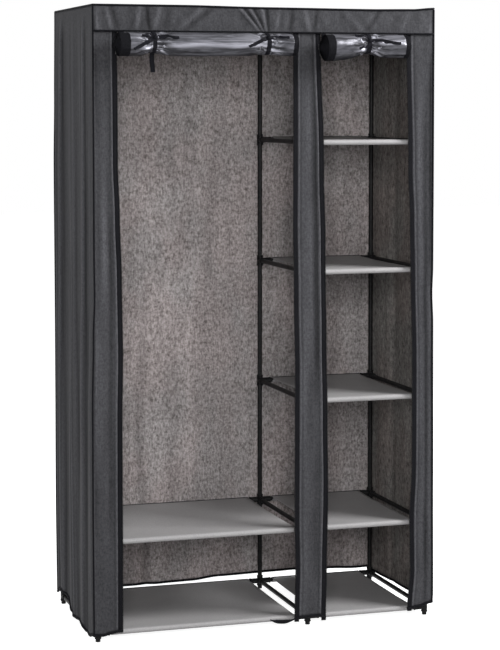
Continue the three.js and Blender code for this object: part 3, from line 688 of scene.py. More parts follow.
def makeDoorLining():
    # Silver-coated inner face of the doors
    material, nodes, links, shader, place = startMaterial(
        "doorLining", liningLook["roughness"], Metallic=liningLook["metallic"], Specular_IOR_Level=0.3)
    fibres, points, cloud = placeClothGroups(nodes, links, place, liningLook)
    # Painted highlight and shade: the colour follows the painted shine that makeRoll writes on the rolls,
    # with a random grain over it
    grain = scaledNoise(nodes, links, place, 150, detail=4, roughness=0.55, stretch=(0.22, 1, 1))
    centred = mathNode(nodes, links, "SUBTRACT", grain, 0.5)
    paintedShineAndGrain = mathNode(nodes, links, "MULTIPLY_ADD", centred, 0.5, creaseMarks(nodes))
    base = mixColours(nodes, links, levels(nodes, links, paintedShineAndGrain, 0.0, 1.0), liningLook["dark"],
                      liningLook["light"])
    links.new(toned(nodes, links, base, cloud["Tone"]), shader.inputs["Base Color"])
    rough = mathNode(nodes, links, "MULTIPLY_ADD", cloud["Marks"], 0.12, liningLook["roughness"])
    links.new(rough, shader.inputs["Roughness"])
    height = mathNode(nodes, links, "MULTIPLY_ADD", points["Height"], 0.6, fibres["Height"])
    bumpInto(nodes, links, shader, height, 0.22, 0.2 * mm)
    return material


def makeBlackTape(name, ribs, roughness, dark, light):
    # Woven black tape, used for the zips, bindings and ribbon ties
    material, nodes, links, shader, place = startMaterial(name, roughness, Specular_IOR_Level=0.03)
    twill = placeGroup(nodes, links, twillGroup, place, Ribs_Per_Metre=ribs)
    cloud = placeGroup(nodes, links, cloudGroup, place, Cloud_Scale=20.0, Strength=0.25)
    base = mixColours(nodes, links, twill["Height"], dark, light)
    links.new(toned(nodes, links, base, cloud["Tone"]), shader.inputs["Base Color"])
    bumpInto(nodes, links, shader, twill["Height"], 0.5, 0.2 * mm)
    return material


dustColour = (0.09, 0.088, 0.085)


def makeHardBlack(name, roughness, base, edge, metallic=0.0, grain=260.0):
    # Black coated steel or moulded plastic
    material, nodes, links, shader, place = startMaterial(
        name, roughness, Metallic=metallic, Specular_IOR_Level=0.1)
    wear = placeGroup(nodes, links, wearGroup, place, Amount=0.55)
    peel = scaledNoise(nodes, links, place, grain, detail=3, roughness=0.5)
    rubbed = mixColours(nodes, links, wear["Edge"], base, edge)
    dusty = mixColours(nodes, links, mathNode(nodes, links, "MULTIPLY", wear["Dust"], 0.04),
                       rubbed, dustColour)
    links.new(dusty, shader.inputs["Base Color"])
    rough = mathNode(nodes, links, "MULTIPLY_ADD", wear["Dust"], 0.15, roughness)
    links.new(rough, shader.inputs["Roughness"])
    bumpInto(nodes, links, shader, peel, 0.15, 0.15 * mm)
    return material


coverCloth = makeCoverCloth()
backInner = makeInnerCloth("backInner", innerLook["back"])
sideInner = makeInnerCloth("sideInner", innerLook["side"])
shelfCloth = makeShelfCloth()
doorLining = makeDoorLining()
blackTape = makeBlackTape("blackTape", 1100.0, 0.62, (0.0035, 0.0035, 0.0045), (0.010, 0.010, 0.012))
ribbonCloth = makeBlackTape("ribbonCloth", 1500.0, 0.48, (0.004, 0.004, 0.006), (0.013, 0.013, 0.016))
zipTeeth = makeHardBlack("zipTeeth", 0.45, (0.006, 0.006, 0.007), (0.03, 0.03, 0.03))
zipMetal = makeHardBlack("zipMetal", 0.32, (0.018, 0.018, 0.020), (0.22, 0.22, 0.22), metallic=0.6)
tubeSteel = makeHardBlack("tubeSteel", 0.42, (0.005, 0.005, 0.0055), (0.04, 0.04, 0.04))
connectorPlastic = makeHardBlack("connectorPlastic", 0.5, (0.006, 0.006, 0.0065), (0.04, 0.04, 0.04),
                                 grain=420.0)
print("finishes are made")


# Where the frame has its axes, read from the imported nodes

postNames = ("left", "middle", "right")
levelNames = ("bottom", "lower", "upper_1", "upper_2", "upper_3", "top")
longLevels = ("bottom", "lower", "top")


def middleOf(node):
    low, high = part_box(node)
    return (low + high) / 2


postX = {name: middleOf("post_front_" + name).x for name in postNames}
sideY = {side: middleOf(f"post_{side}_left").y for side in ("front", "rear")}
levelZ = {level: middleOf("rung_middle_" + level).z for level in levelNames}
topLow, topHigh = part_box("cover_top")
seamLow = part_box("cover_valance")[0].z  # underside of the seam below the valance
pipingStand = 1.8 * mm  # how far the node's piping stands out from its cloth
coverEdge = {"left": topLow.x + pipingStand, "right": topHigh.x - pipingStand,
             "front": topLow.y + pipingStand, "back": topHigh.y - pipingStand}
sheetTop = topHigh.z - pipingStand

tubeSetup = {"radius": 6.5 * mm, "wall": 0.7 * mm, "hollow": 12 * mm, "corners": 32, "edge": 0.2 * mm}
hardAngle = 35  # degrees: sharper edges than this stay sharp in the shading


def makeTube(name, start, end, nodes):
    # Steel tube with open ends
    tube = straightBar(name, tubeSetup["radius"], start, end, tubeSetup["corners"], 0)
    along = (Vector(end) - Vector(start)).normalized()
    bpy.ops.object.mode_set(mode="EDIT")
    bpy.ops.mesh.select_mode(type="FACE")
    bpy.ops.mesh.select_all(action="DESELECT")
    bpy.ops.object.mode_set(mode="OBJECT")
    for face in tube.data.polygons:
        face.select = abs(face.normal.dot(along)) > 0.9
    bpy.ops.object.mode_set(mode="EDIT")
    bpy.ops.mesh.inset(thickness=tubeSetup["wall"], use_individual=True)
    bpy.ops.mesh.extrude_faces_move(
        MESH_OT_extrude_faces_indiv={}, TRANSFORM_OT_shrink_fatten={"value": -tubeSetup["hollow"]})
    bpy.ops.object.mode_set(mode="OBJECT")
    useModifier(tube, "BEVEL", width=tubeSetup["edge"], segments=1, limit_method="ANGLE")
    paint(tube, tubeSteel)
    settle(tube, "wardrobe", nodes, hardAngle)


def makeFrameTubes():
    for side in ("front", "rear"):
        for name in postNames:
            low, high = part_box(f"post_{side}_{name}")
            x, y = postX[name], sideY[side]
            makeTube(f"post_{side}_{name}_tube", (x, y, low.z), (x, y, high.z),
                     [f"post_{side}_{name}"])
        for level in levelNames:
            first = postX["left" if level in longLevels else "middle"]
            y, z = sideY[side], levelZ[level]
            makeTube(f"rail_{side}_{level}_tube", (first, y, z), (postX["right"], y, z),
                     [f"rail_{side}_{level}"])
    for name in postNames:
        for level in levelNames:
            if name == "left" and level not in longLevels:
                continue
            low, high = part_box(f"rung_{name}_{level}")
            x, z = postX[name], levelZ[level]
            makeTube(f"rung_{name}_{level}_tube", (x, low.y, z), (x, high.y, z),
                     [f"rung_{name}_{level}"])


makeFrameTubes()
print("tubes are in place")

connectorSetup = {
    "sleeveRadius": 8.6 * mm,
    "sleeveHalf": 16 * mm,
    "sleeveLow": 9 * mm,  # its lower end above the floor, where there is a foot
    "armRadius": 7.9 * mm,
    "armReach": 33 * mm,
    "socketReach": 26 * mm,
    "lipRadius": 0.9 * mm,  # how far the lips stand out
    "lipLength": 3.5 * mm,
    "footRadius": 6.8 * mm,
    "footTop": 12 * mm,
    "corners": 32,
    "armCorners": 28,
    "bodyEdge": 0.8 * mm,
    "armEdge": 0.6 * mm,
    "collarEdge": 0.5 * mm,
}


def connectorKind(kind, arms):
    # One moulded connector at the origin, its socket pointing back
    size = connectorSetup
    half, lip = size["sleeveHalf"], size["lipLength"]
    floor = -levelZ["bottom"]
    low = floor + size["sleeveLow"] if kind == "bottom" else -half
    high = size["sleeveRadius"] if kind == "top" else half
    body = straightBar("connectorBody", size["sleeveRadius"], (0, 0, low), (0, 0, high),
                       size["corners"], size["bodyEdge"])
    lips = [(low, low + lip)] if kind == "top" else [(low, low + lip), (high - lip, high)]
    lipRadius = size["sleeveRadius"] + size["lipRadius"]
    for start, end in lips:
        uniteWith(body, straightBar("lip", lipRadius, (0, 0, start), (0, 0, end),
                                    size["corners"], size["armEdge"]))
    reaches = [(Vector((0, 1, 0)), size["socketReach"], size["sleeveRadius"])]
    reaches += [(Vector((arm, 0, 0)), size["armReach"], size["armRadius"]) for arm in arms]
    for along, reach, radius in reaches:
        uniteWith(body, straightBar("arm", radius, (0, 0, 0), along * reach,
                                    size["armCorners"], size["armEdge"]))
        uniteWith(body, straightBar("collar", radius + size["lipRadius"], along * (reach - lip),
                                    along * reach, size["armCorners"], size["collarEdge"]))
    if kind == "bottom":
        uniteWith(body, straightBar("foot", size["footRadius"], (0, 0, floor),
                                    (0, 0, floor + size["footTop"]), size["armCorners"], size["bodyEdge"]))
    body.data.name = f"connector_{kind}"
    return body


def makeConnectors():
    made = {}
    for side in ("front", "rear"):
        turn = 0 if side == "front" else math.pi
        for level in levelNames:
            kind = level if level in ("bottom", "top") else "middle"
            names = postNames if level in longLevels else postNames[1:]
            for index, name in enumerate(names):
                arms = tuple(arm for arm in (-1, 1) if 0 <= index + arm < len(names))
                local = tuple(sorted(arm if side == "front" else -arm for arm in arms))
                if (kind, local) not in made:
                    made[kind, local] = connectorKind(kind, local)
                mesh = made[kind, local].data.copy()
                piece = bpy.data.objects.new(f"connector_{side}_{level}_{name}", mesh)
                scene.collection.objects.link(piece)
                piece.location = (postX[name], sideY[side], levelZ[level])
                piece.rotation_euler.z = turn
                paint(piece, connectorPlastic)
                settle(piece, "wardrobe", angle=hardAngle)
    for pattern in made.values():
        bpy.data.objects.remove(pattern)


makeConnectors()
print("connectors are in place")

hangingRail = {"eyeHalf": 10 * mm, "gripHalf": 5.5 * mm, "gripWall": 1.6 * mm, "edge": 0.8 * mm,
               "webWide": 5 * mm, "webDeep": 16 * mm, "webEdge": 1 * mm}


def makeHangingRail():
    # Tube below the top rungs, hung from an eye threaded on each
    size = hangingRail
    low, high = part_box("hanging_rail")
    y, z, top = (low.y + high.y) / 2, low.z + tubeSetup["radius"], levelZ["top"]
    makeTube("hanging_rail_tube", (low.x, y, z), (high.x, y, z), ["hanging_rail"])
    for name in ("left", "middle"):
        x = postX[name]
        eye = straightBar("eye", connectorSetup["sleeveRadius"], (x, y - size["eyeHalf"], top),
                          (x, y + size["eyeHalf"], top), roundOff=size["edge"])
        grip = straightBar("grip", tubeSetup["radius"] + size["gripWall"], (x - size["gripHalf"], y, z),
                           (x + size["gripHalf"], y, z), roundOff=size["edge"])
        web = makeBlock("web", (size["webWide"], size["webDeep"], top - z), (x, y, (z + top) / 2),
                        size["webEdge"])
        uniteWith(eye, grip)
        uniteWith(eye, web)
        hanger = takeActive(f"hanging_rail_eye_{name}")
        paint(hanger, connectorPlastic)
        settle(hanger, "wardrobe", angle=hardAngle)


makeHangingRail()

shelfSetup = {
    "wrap": 7.5 * mm,  # tube axis to the outside of the cloth
    "cloth": 0.9 * mm,
    "seamReach": 24 * mm,  # tube axis to the seam that closes the tunnel
    "seamBelow": 2.2 * mm,  # the tunnel's lower cloth below the upper one, at the seam
    "tunnelDip": 1.5 * mm,
    "turn": 230,  # degrees that the cloth goes round each rail
    "turnSteps": 14,
    "flatSteps": 26,
    "columns": 36,
    "sag": 2.2 * mm,
    "ripple": 0.5 * mm,
    "curl": 0.9 * mm,  # how far the side edges bend down
    "wander": 1.2 * mm,  # and how far they stray sideways
    # the black cord along the rear edge, a painted shadow
    "shadowCordRadius": 1.3 * mm,
    "shadowCordLift": 0.3 * mm,
}


def shelfSection(frontY, rearY):
    # Round the front rail, over the top and round the rear rail, as (y, z) from the rail's axis
    wrap, seam = shelfSetup["wrap"], shelfSetup["seamReach"]
    turnSteps, steps = shelfSetup["turnSteps"], shelfSetup["flatSteps"]
    under = wrap - shelfSetup["seamBelow"]
    dip = under - shelfSetup["tunnelDip"]

    def roundRail(y, fromAngle):
        angles = [math.radians(fromAngle - shelfSetup["turn"] * k / turnSteps) for k in range(turnSteps + 1)]
        return [(y + wrap * math.cos(angle), wrap * math.sin(angle)) for angle in angles]

    points = [(frontY + seam, under), (frontY + seam * 0.75, dip)] + roundRail(frontY, -40)
    for k in range(1, steps):
        share = k / steps
        sag = shelfSetup["sag"] * math.sin(math.pi * share) ** 0.8
        points.append((frontY + (rearY - frontY) * share, wrap - sag))
    return points + roundRail(rearY, 90) + [(rearY - seam * 0.75, dip), (rearY - seam, under)]


def makeShelf(name, level):
    low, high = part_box(name)
    section = shelfSection(sideY["front"], sideY["rear"])
    z = levelZ[level]
    seed = low.x * 7 + z * 3
    tunnel = shelfSetup["turnSteps"] + 3  # points of the section that lie round each rail

    def at(across, along):
        spot = along * (len(section) - 1)
        index = min(int(spot), len(section) - 2)
        share = spot - index
        y = section[index][0] * (1 - share) + section[index + 1][0] * share
        height = section[index][1] * (1 - share) + section[index + 1][1] * share
        flat = 1 if tunnel < spot < len(section) - 1 - tunnel else 0
        crease = noise.noise(Vector((across * 9, y * 16, seed))) * shelfSetup["ripple"]
        curl = -shelfSetup["curl"] * (bump(across, 0, 0.02) + bump(across, 1, 0.02)) * flat
        edge = shelfSetup["wander"] * noise.noise(Vector((y * 9, seed, 3)))
        x = low.x + (high.x - low.x) * across + edge * (2 * across - 1)
        return Vector((x, y, z + height + crease * flat + curl))

    # Runs rear to front, so that its upper face is the outer one
    shelf = clothGrid(name + "_cloth", shelfSetup["columns"], len(section) - 1,
                      lambda across, along: at(across, 1 - along))
    makeActive(shelf)
    bpy.ops.object.mode_set(mode="EDIT")
    bpy.ops.mesh.select_all(action="SELECT")
    bpy.ops.mesh.flip_normals()
    bpy.ops.object.mode_set(mode="OBJECT")
    paint(shelf, shelfCloth, shelfCloth)
    giveThickness(shelf, shelfSetup["cloth"], 0)
    length = sum(math.dist(a, b) for a, b in zip(section, section[1:]))
    settle(shelf, "wardrobe", [name])
    # A black cord along the rear edge of the top, a dark piece where the rear tunnel is in shade: painted
    # shadow
    rear = sideY["rear"] - shelfSetup["wrap"] * 0.3
    top = z + shelfSetup["wrap"] + shelfSetup["shadowCordLift"]
    line = [Vector((low.x + (high.x - low.x) * k / 20, rear, top)) for k in range(21)]
    makeBinding(name + "_rear_binding", line, shelfSetup["shadowCordRadius"])


def makeShelves():
    for level in ("bottom", "lower"):
        makeShelf("shelf_left_" + level, level)
    for level in levelNames[:-1]:
        makeShelf("shelf_right_" + level, level)


makeShelves()
print("shelves are in place")


# The cloth cover. Corners and hems first: every panel that meets there uses the same lines

# How far each corner seam strays to the right and to the back, in millimetres, at heights in metres
cornerSetup = {
    "frontLeft": {"right": [(0.0, 1.5), (0.35, 0.5), (0.65, 0.5), (0.85, 4.0), (0.95, 7.5), (1.08, 6.5),
                            (1.35, 6.5), (1.75, 6.0)],
                  "back": [(0.0, 0), (1.75, 0)]},
    "frontRight": {"right": [(0.0, -1.0), (0.06, 3.0), (0.4, 1.0), (0.85, -1.5), (0.94, -5.0), (1.02, -2.5),
                             (1.75, -2.8)],
                   "back": [(0.0, 0), (1.75, 0)]},
    "backLeft": {"right": [(0.0, 4.0), (0.3, 2.0), (0.8, 3.0), (1.3, 2.0), (1.5, 4.5), (1.75, 6.5)],
                 "back": [(0.0, -2), (0.5, 1), (1.75, 0)]},
    "backRight": {"right": [(0.0, -4.0), (0.5, -1.0), (1.75, 0)],
                  "back": [(0.0, -2), (0.7, 1), (1.75, 0)]},
}

# Height of each hem above the floor in millimetres, along the wall from left to right or from rear to front
hemSetup = {
    "left": [(0.0, 34), (0.05, 48), (0.12, 55), (0.24, 53), (0.3, 48), (0.35, 36), (0.39, 24), (0.5, 19),
             (0.64, 21), (0.72, 22), (0.8, 13), (0.9, 13), (1.0, 24)],
    "right": [(0.0, 30), (0.5, 36), (0.8, 40), (1.0, 42)],
    "back": [(0.0, 37), (0.2, 36), (0.42, 38), (0.5, 45), (0.75, 48), (0.85, 44), (0.95, 39), (1.0, 40)],
    "stripLeft": [(0.0, 24), (0.3, 22), (0.6, 27), (1.0, 33)],
    "stripMiddle": [(0.0, 22), (0.2, 28), (0.8, 29), (1.0, 20)],
    "stripRight": [(0.0, 26), (0.4, 31), (1.0, 41)],
}

# Where the piping of each corner begins above the floor, in millimetres
pipingLow = {"frontLeft": 20, "frontRight": 38, "backLeft": 34, "backRight": 36}

clothSetup = {
    "thick": 0.9 * mm,
    "pipe": 2.6 * mm,
    "rightPipe": 3.0 * mm,
    "topPipe": 3.1 * mm,
    "hemBinding": 3.8 * mm,
    "frameGap": 10.4 * mm,  # the cloth stays this far from the axes of the posts
    "frameSlack": 2 * mm,  # and bends off softly over this distance
}


def cornerAt(corner, z):
    sides = cornerSetup[corner]
    x = coverEdge["left" if corner.endswith("Left") else "right"]
    y = coverEdge["front" if corner.startswith("front") else "back"]
    return Vector((x + blendTable(sides["right"], z) * mm, y + blendTable(sides["back"], z) * mm, z))


# Folds in each hanging panel: place across, width, depth in millimetres, lean, and in metres the height of
# the middle and the reach up and down
foldSetup = {
    "left": {
        "folds": [(0.16, 0.035, 7.5, 0.03, 1.1, 1.2), (0.30, 0.06, -7.5, 0.0, 0.8, 1.0),
                  (0.47, 0.025, 4.2, -0.04, 0.4, 0.7), (0.60, 0.05, -6.0, -0.03, 1.3, 0.9),
                  (0.76, 0.035, 7.0, 0.02, 1.0, 0.9), (0.86, 0.03, -2.0, 0.03, 1.0, 0.8),
                  (0.06, 0.03, -4.0, 0.0, 1.2, 0.8)],
        "ripple": 3.0, "across": 9.0, "up": 0.8, "seed": 4.0},
    "right": {
        "folds": [(0.2, 0.05, 3.5, 0.02, 0.9, 1.0), (0.42, 0.06, -4.0, 0.03, 0.7, 0.9),
                  (0.6, 0.05, 3.5, -0.03, 1.1, 1.0), (0.82, 0.05, -3.0, 0.0, 0.8, 0.9)],
        "ripple": 1.8, "across": 9.0, "up": 1.2, "seed": 11.0},
    "back": {
        "folds": [(0.12, 0.03, 3.0, 0.02, 0.6, 0.9), (0.3, 0.03, -3.0, 0.01, 1.0, 0.8),
                  (0.52, 0.05, 3.0, -0.02, 1.0, 1.0), (0.735, 0.018, 6.0, 0.01, 0.15, 0.5),
                  (0.69, 0.025, -4.0, 0.0, 0.2, 0.6), (0.88, 0.04, 3.0, 0.0, 0.9, 0.9)],
        "ripple": 2.2, "across": 9.0, "up": 1.8, "seed": 23.0},
}


def foldAt(folds, across, z):
    seed = folds["seed"]
    total = 0.0
    for spot, width, depth, lean, middle, reach in folds["folds"]:
        centre = spot + lean * (z - middle) + 0.008 * math.sin(7 * z + spot * 40)
        total += depth * bump(across, centre, width) * bump(z, middle, reach)
    drifted = across + 0.03 * noise.noise(Vector((seed, z * 1.5, across * 2)))
    slow = noise.noise(Vector((drifted * folds["across"], z * folds["up"], seed)))
    quick = noise.noise(Vector((drifted * folds["across"] * 2.7, z * folds["up"] * 2.2, seed + 9)))
    crisp = 1 - 2.2 * abs(noise.noise(Vector((drifted * folds["across"] * 0.6, z * 0.7, seed + 5))))
    total += folds["ripple"] * (slow + 0.5 * quick + 0.5 * crisp)
    edges = within(across, 0, 1, 0.05)
    topHold = soft((sheetTop - z) / 0.10)
    return total * mm * edges * topHold


# How far the top edge rises above its seam, from left to right, in millimetres
topEdge = [(0.0, 0.6), (0.25, 0.6), (0.5, -2.4), (0.8, -3.6), (0.93, -2.0), (1.0, 3.0)]


def rimAt(point):
    # Height of the cover's top edge above a place
    across = (point.x - coverEdge["left"]) / (coverEdge["right"] - coverEdge["left"])
    along = (point.y - coverEdge["front"]) / (coverEdge["back"] - coverEdge["front"])
    return sheetTop + blendTable(topEdge, across) * mm * (1 - 0.6 * max(0.0, along))


def hangingPanel(name, start, end, outward, hem, folds, inner, node, columns):
    # A wall of the cover between two corner seams; start and end are its corners from left to right as seen
    outwards = Vector(outward)
    frameAt = Vector((postX["left"] if outward[0] < 0 else postX["right"], sideY["rear"], 0))
    slack = clothSetup["frameSlack"]

    def at(across, up):
        bottom = blendTable(hem, across) * mm
        top = rimAt(cornerAt(start, sheetTop).lerp(cornerAt(end, sheetTop), across))
        z = bottom + (top - bottom) * up
        point = cornerAt(start, z).lerp(cornerAt(end, z), across)
        point += outwards * foldAt(folds, across, z)
        room = (point - frameAt).dot(outwards) - clothSetup["frameGap"]
        if room < slack:
            point += outwards * (slack * math.exp(room / slack - 1) - room)
        point.z = z
        return point

    panel = clothGrid(name + "_cloth", columns, 150, at)
    paint(panel, coverCloth, inner)
    giveThickness(panel, clothSetup["thick"])
    settle(panel, "wardrobe", [node])
    width = (cornerAt(start, 1.0) - cornerAt(end, 1.0)).length
    makeBinding(name + "_cloth_hem", [at(k / 80, 0) for k in range(81)], clothSetup["hemBinding"])


def flipTable(table):
    return [(1 - at, value) for at, value in reversed(table)]


hangingPanel("cover_left", "backLeft", "frontLeft", (-1, 0, 0), hemSetup["left"], foldSetup["left"],
             sideInner, "cover_left_side", columns=90)
hangingPanel("cover_right", "frontRight", "backRight", (1, 0, 0), flipTable(hemSetup["right"]),
             foldSetup["right"], sideInner, "cover_right_side", columns=90)
hangingPanel("cover_back", "backRight", "backLeft", (0, 1, 0), flipTable(hemSetup["back"]),
             foldSetup["back"], backInner, "cover_back", columns=150)
print("side and back panels hang")

topSetup = {"sag": 7 * mm, "columns": 120, "rows": 60, "ripple": 0.6 * mm, "lift": 0.4 * mm}


def topSag(x, y):
    # Down between the rails and rungs, up over them
    def between(value, low, high):
        if not low < value < high:
            return 0.0
        return math.sin(math.pi * (value - low) / (high - low))
    across = between(x, postX["left"], postX["middle"]) + between(x, postX["middle"], postX["right"])
    along = between(y, sideY["front"], sideY["rear"])
    return topSetup["sag"] * across ** 0.7 * along ** 0.7 if across and along else 0.0


def makeTop():
    def at(across, along):
        front = cornerAt("frontLeft", sheetTop).lerp(cornerAt("frontRight", sheetTop), across)
        back = cornerAt("backLeft", sheetTop).lerp(cornerAt("backRight", sheetTop), across)
        point = front.lerp(back, along)
        inside = within(across, 0, 1, 0.03) * within(along, 0, 1, 0.05)
        crease = noise.noise(Vector((point.x * 11, point.y * 9, 2.0)))
        crease += 0.5 * noise.noise(Vector((point.x * 26, point.y * 21, 6.0)))
        height = rimAt(point) - topSag(point.x, point.y)
        point.z = height + crease * topSetup["ripple"] * inside + topSetup["lift"]
        return point

    top = clothGrid("cover_top_cloth", topSetup["columns"], topSetup["rows"], at)
    paint(top, coverCloth, sideInner)
    giveThickness(top, clothSetup["thick"])
    settle(top, "wardrobe", ["cover_top"])


makeTop()

valanceSetup = {
    "columns": 300,
    "rows": 30,
    "lean": 3.6 * mm,  # how far the seam stands in front of the cover
    "billow": 1.8 * mm,
    "fine": 0.7 * mm,
    "seamRadius": 2.6 * mm,
    "seamOffset": (0, -0.6 * mm, -0.8 * mm),
    "creaseDepth": 0.6,
    # creases: millimetres from the left post's axis at the top and at the seam, width, depth
    "creases": [(404, 462, 6, 5.6), (417, 468, 7, -4.4), (432, 472, 5, 5.2), (446, 476, 6, -3.4),
                (468, 480, 5, 4.4), (484, 486, 7, -3.6), (330, 250, 18, -3.4), (300, 225, 14, 2.4),
                (120, 108, 9, 3.6), (140, 146, 8, -3.0), (176, 160, 9, 3.0), (205, 190, 12, -2.4),
                (560, 552, 12, -3.4), (596, 606, 9, 3.4), (630, 622, 8, -2.0), (712, 766, 13, 2.4),
                (820, 775, 11, -2.2), (905, 880, 14, 2.0), (40, 60, 10, -2.4), (24, 40, 7, 2.0),
                (520, 508, 8, 2.4)],
}


def valanceAt(across, up):
    edge = cornerAt("frontLeft", sheetTop).lerp(cornerAt("frontRight", sheetTop), across)
    z = seamLow + (rimAt(edge) - seamLow) * up
    near, far = cornerAt("frontLeft", z), cornerAt("frontRight", z)
    point = near.lerp(far, across)
    ends = within(across, 0, 1, 0.01)
    push = valanceSetup["lean"] * (1 - soft(up)) * ends
    middle = math.sin(math.pi * min(1, max(0, up))) ** 0.5
    fromPost = (point.x - postX["left"]) / mm
    for top, seam, width, depth in valanceSetup["creases"]:
        crease = bump(fromPost, seam + (top - seam) * up, width)
        push += valanceSetup["creaseDepth"] * depth * mm * crease * middle
    push += valanceSetup["billow"] * middle * noise.noise(Vector((across * 12, up * 1.2, 8.0)))
    push += valanceSetup["fine"] * middle * noise.noise(Vector((across * 45, up * 2.6, 3.0)))
    point.y -= push * ends
    point.z = z
    return point


def makeValance():
    valance = clothGrid("cover_valance_cloth", valanceSetup["columns"], valanceSetup["rows"], valanceAt)
    paint(valance, coverCloth, sideInner)
    giveThickness(valance, clothSetup["thick"])
    settle(valance, "wardrobe", ["cover_valance"])
    line = [valanceAt(k / 120, 0) + Vector(valanceSetup["seamOffset"]) for k in range(121)]
    makeBinding("cover_valance_seam", line, valanceSetup["seamRadius"])


makeValance()


def makePiping():
    # Black piping down the four corners and round the top
    for corner, low in pipingLow.items():
        line = [cornerAt(corner, low * mm + (sheetTop - low * mm) * k / 60) for k in range(61)]
        radius = clothSetup["rightPipe" if corner == "frontRight" else "pipe"]
        makeBinding("cover_piping_" + corner, line, radius)
    ring = []
    corners = ["frontLeft", "frontRight", "backRight", "backLeft", "frontLeft"]
    for first, following in zip(corners, corners[1:]):
        start, end = cornerAt(first, sheetTop), cornerAt(following, sheetTop)
        for k in range(50):
            point = start.lerp(end, k / 50)
            point.z = rimAt(point)
            ring.append(point)
    makeBinding("cover_piping_top", ring + ring[:1], clothSetup["topPipe"])


makePiping()
print("top, valance and piping are in place")

# Zipped edges of the strips: metres above the floor, and millimetres from the left post's axis
edgeSetup = {
    "leftOuter": [(0.03, 66), (0.62, 66), (0.8, 69), (1.0, 67), (1.17, 62), (1.32, 57), (1.70, 55)],
    "leftInner": [(0.03, 567), (0.17, 570), (0.32, 567), (0.74, 567), (0.94, 564), (1.16, 561), (1.70, 561)],
    "rightInner": [(0.03, 660), (0.16, 663), (0.38, 666), (0.6, 663), (0.8, 660), (1.08, 657), (1.3, 651),
                   (1.70, 639)],
    "rightOuter": [(0.03, 911), (0.14, 919), (0.29, 917), (0.43, 922), (0.72, 922), (1.0, 916), (1.15, 913),
                   (1.3, 907), (1.70, 899)],
}
stripSetup = {
    "rows": 170,
    "columns": 72,
    "tape": 13 * mm,
    "sway": 4.0 * mm,
    "stillBelow": 60 * mm,
    "top": seamLow - 0.3 * mm,
    # a turned seam beside each zip, from the zipped edge
    "seamFrom": 16.5 * mm,
    "seamWidth": 1.8 * mm,
    "seamHeight": 1.1 * mm,
}


def edgeAt(edge, z):
    return postX["left"] + blendTable(edgeSetup[edge], z) * mm


def frontSway(x, z):
    # How far the front strips stand out at a place; they lie still at the seam and where the sliders stop
    slow = noise.noise(Vector((x * 9, z * 2.4, 31.0)))
    quick = noise.noise(Vector((x * 30, z * 5.0, 37.0)))
    still = soft((stripSetup["top"] - z) / 0.1) * soft((z - stripSetup["stillBelow"]) / 0.12)
    return stripSetup["sway"] * (slow + 0.35 * quick) * still


# Folds: place across, width, depth in millimetres, and in metres the height of the middle and the reach
stripShapes = {
    "left": {"edges": (None, "leftOuter"), "hem": "stripLeft",
             "folds": [(0.35, 0.16, 2.4, 1.12, 0.14), (0.62, 0.12, -1.5, 0.9, 0.5)]},
    "middle": {"edges": ("leftInner", "rightInner"), "hem": "stripMiddle",
               "folds": [(0.3, 0.16, 1.8, 0.6, 0.7), (0.7, 0.12, -2.0, 1.1, 0.6)]},
    "right": {"edges": ("rightOuter", None), "hem": "stripRight",
              "folds": [(0.45, 0.14, 1.6, 1.3, 0.4), (0.7, 0.12, -1.6, 0.5, 0.6)]},
}


def stripPoint(strip, across, z):
    shape = stripShapes[strip]
    left = cornerAt("frontLeft", z).x if shape["edges"][0] is None else edgeAt(shape["edges"][0], z)
    right = cornerAt("frontRight", z).x if shape["edges"][1] is None else edgeAt(shape["edges"][1], z)
    x = left + (right - left) * across
    push = frontSway(x, z)
    for spot, width, depth, middle, reach in shape["folds"]:
        push += depth * mm * bump(across, spot, width) * bump(z, middle, reach)
    for edge, inwards in zip(shape["edges"], (x - left, right - x)):
        if edge is None:
            push *= soft(inwards / (right - left) / 0.12)
        else:
            seam = bump(inwards, stripSetup["seamFrom"], stripSetup["seamWidth"])
            push += stripSetup["seamHeight"] * seam
    return Vector((x, coverEdge["front"] - push, z))


def makeStrips():
    for name, shape in stripShapes.items():
        def at(across, up, name=name, shape=shape):
            bottom = blendTable(hemSetup[shape["hem"]], across) * mm
            return stripPoint(name, across, bottom + (stripSetup["top"] - bottom) * up)

        strip = clothGrid(f"front_strip_{name}_cloth", stripSetup["columns"], stripSetup["rows"], at)
        paint(strip, coverCloth, sideInner)
        giveThickness(strip, clothSetup["thick"])
        settle(strip, "wardrobe", ["front_strip_" + name])
        width = (at(1, 0.5) - at(0, 0.5)).length
        makeBinding(f"front_strip_{name}_hem", [at(k / 24, 0) for k in range(25)], clothSetup["hemBinding"])


makeStrips()

zipSetup = {
    "stand": 0.6 * mm,  # tape in front of the strip
    "thick": 0.6 * mm,
    "pitch": 2.6 * mm,
    "toothWidth": 3.0 * mm,
    "toothTall": 1.3 * mm,
    "toothDeep": 2.2 * mm,
    "toothEdge": 0.35 * mm,
    "tail": 7 * mm,  # tape below the hem
}
# The strip of each zip, its edge there, and which way along the strip is inwards
zipEdges = {
    "leftOuter": ("left", 1, -1), "leftInner": ("middle", 0, 1),
    "rightInner": ("middle", 1, -1), "rightOuter": ("right", 0, 1),
}


def zipPoint(edge, inwards, z):
    # A point on a zip, that far in from the edge of its strip
    strip, across, direction = zipEdges[edge]
    width = abs(stripPoint(strip, 1, z).x - stripPoint(strip, 0, z).x)
    share = across + direction * inwards / width
    return stripPoint(strip, share, z)


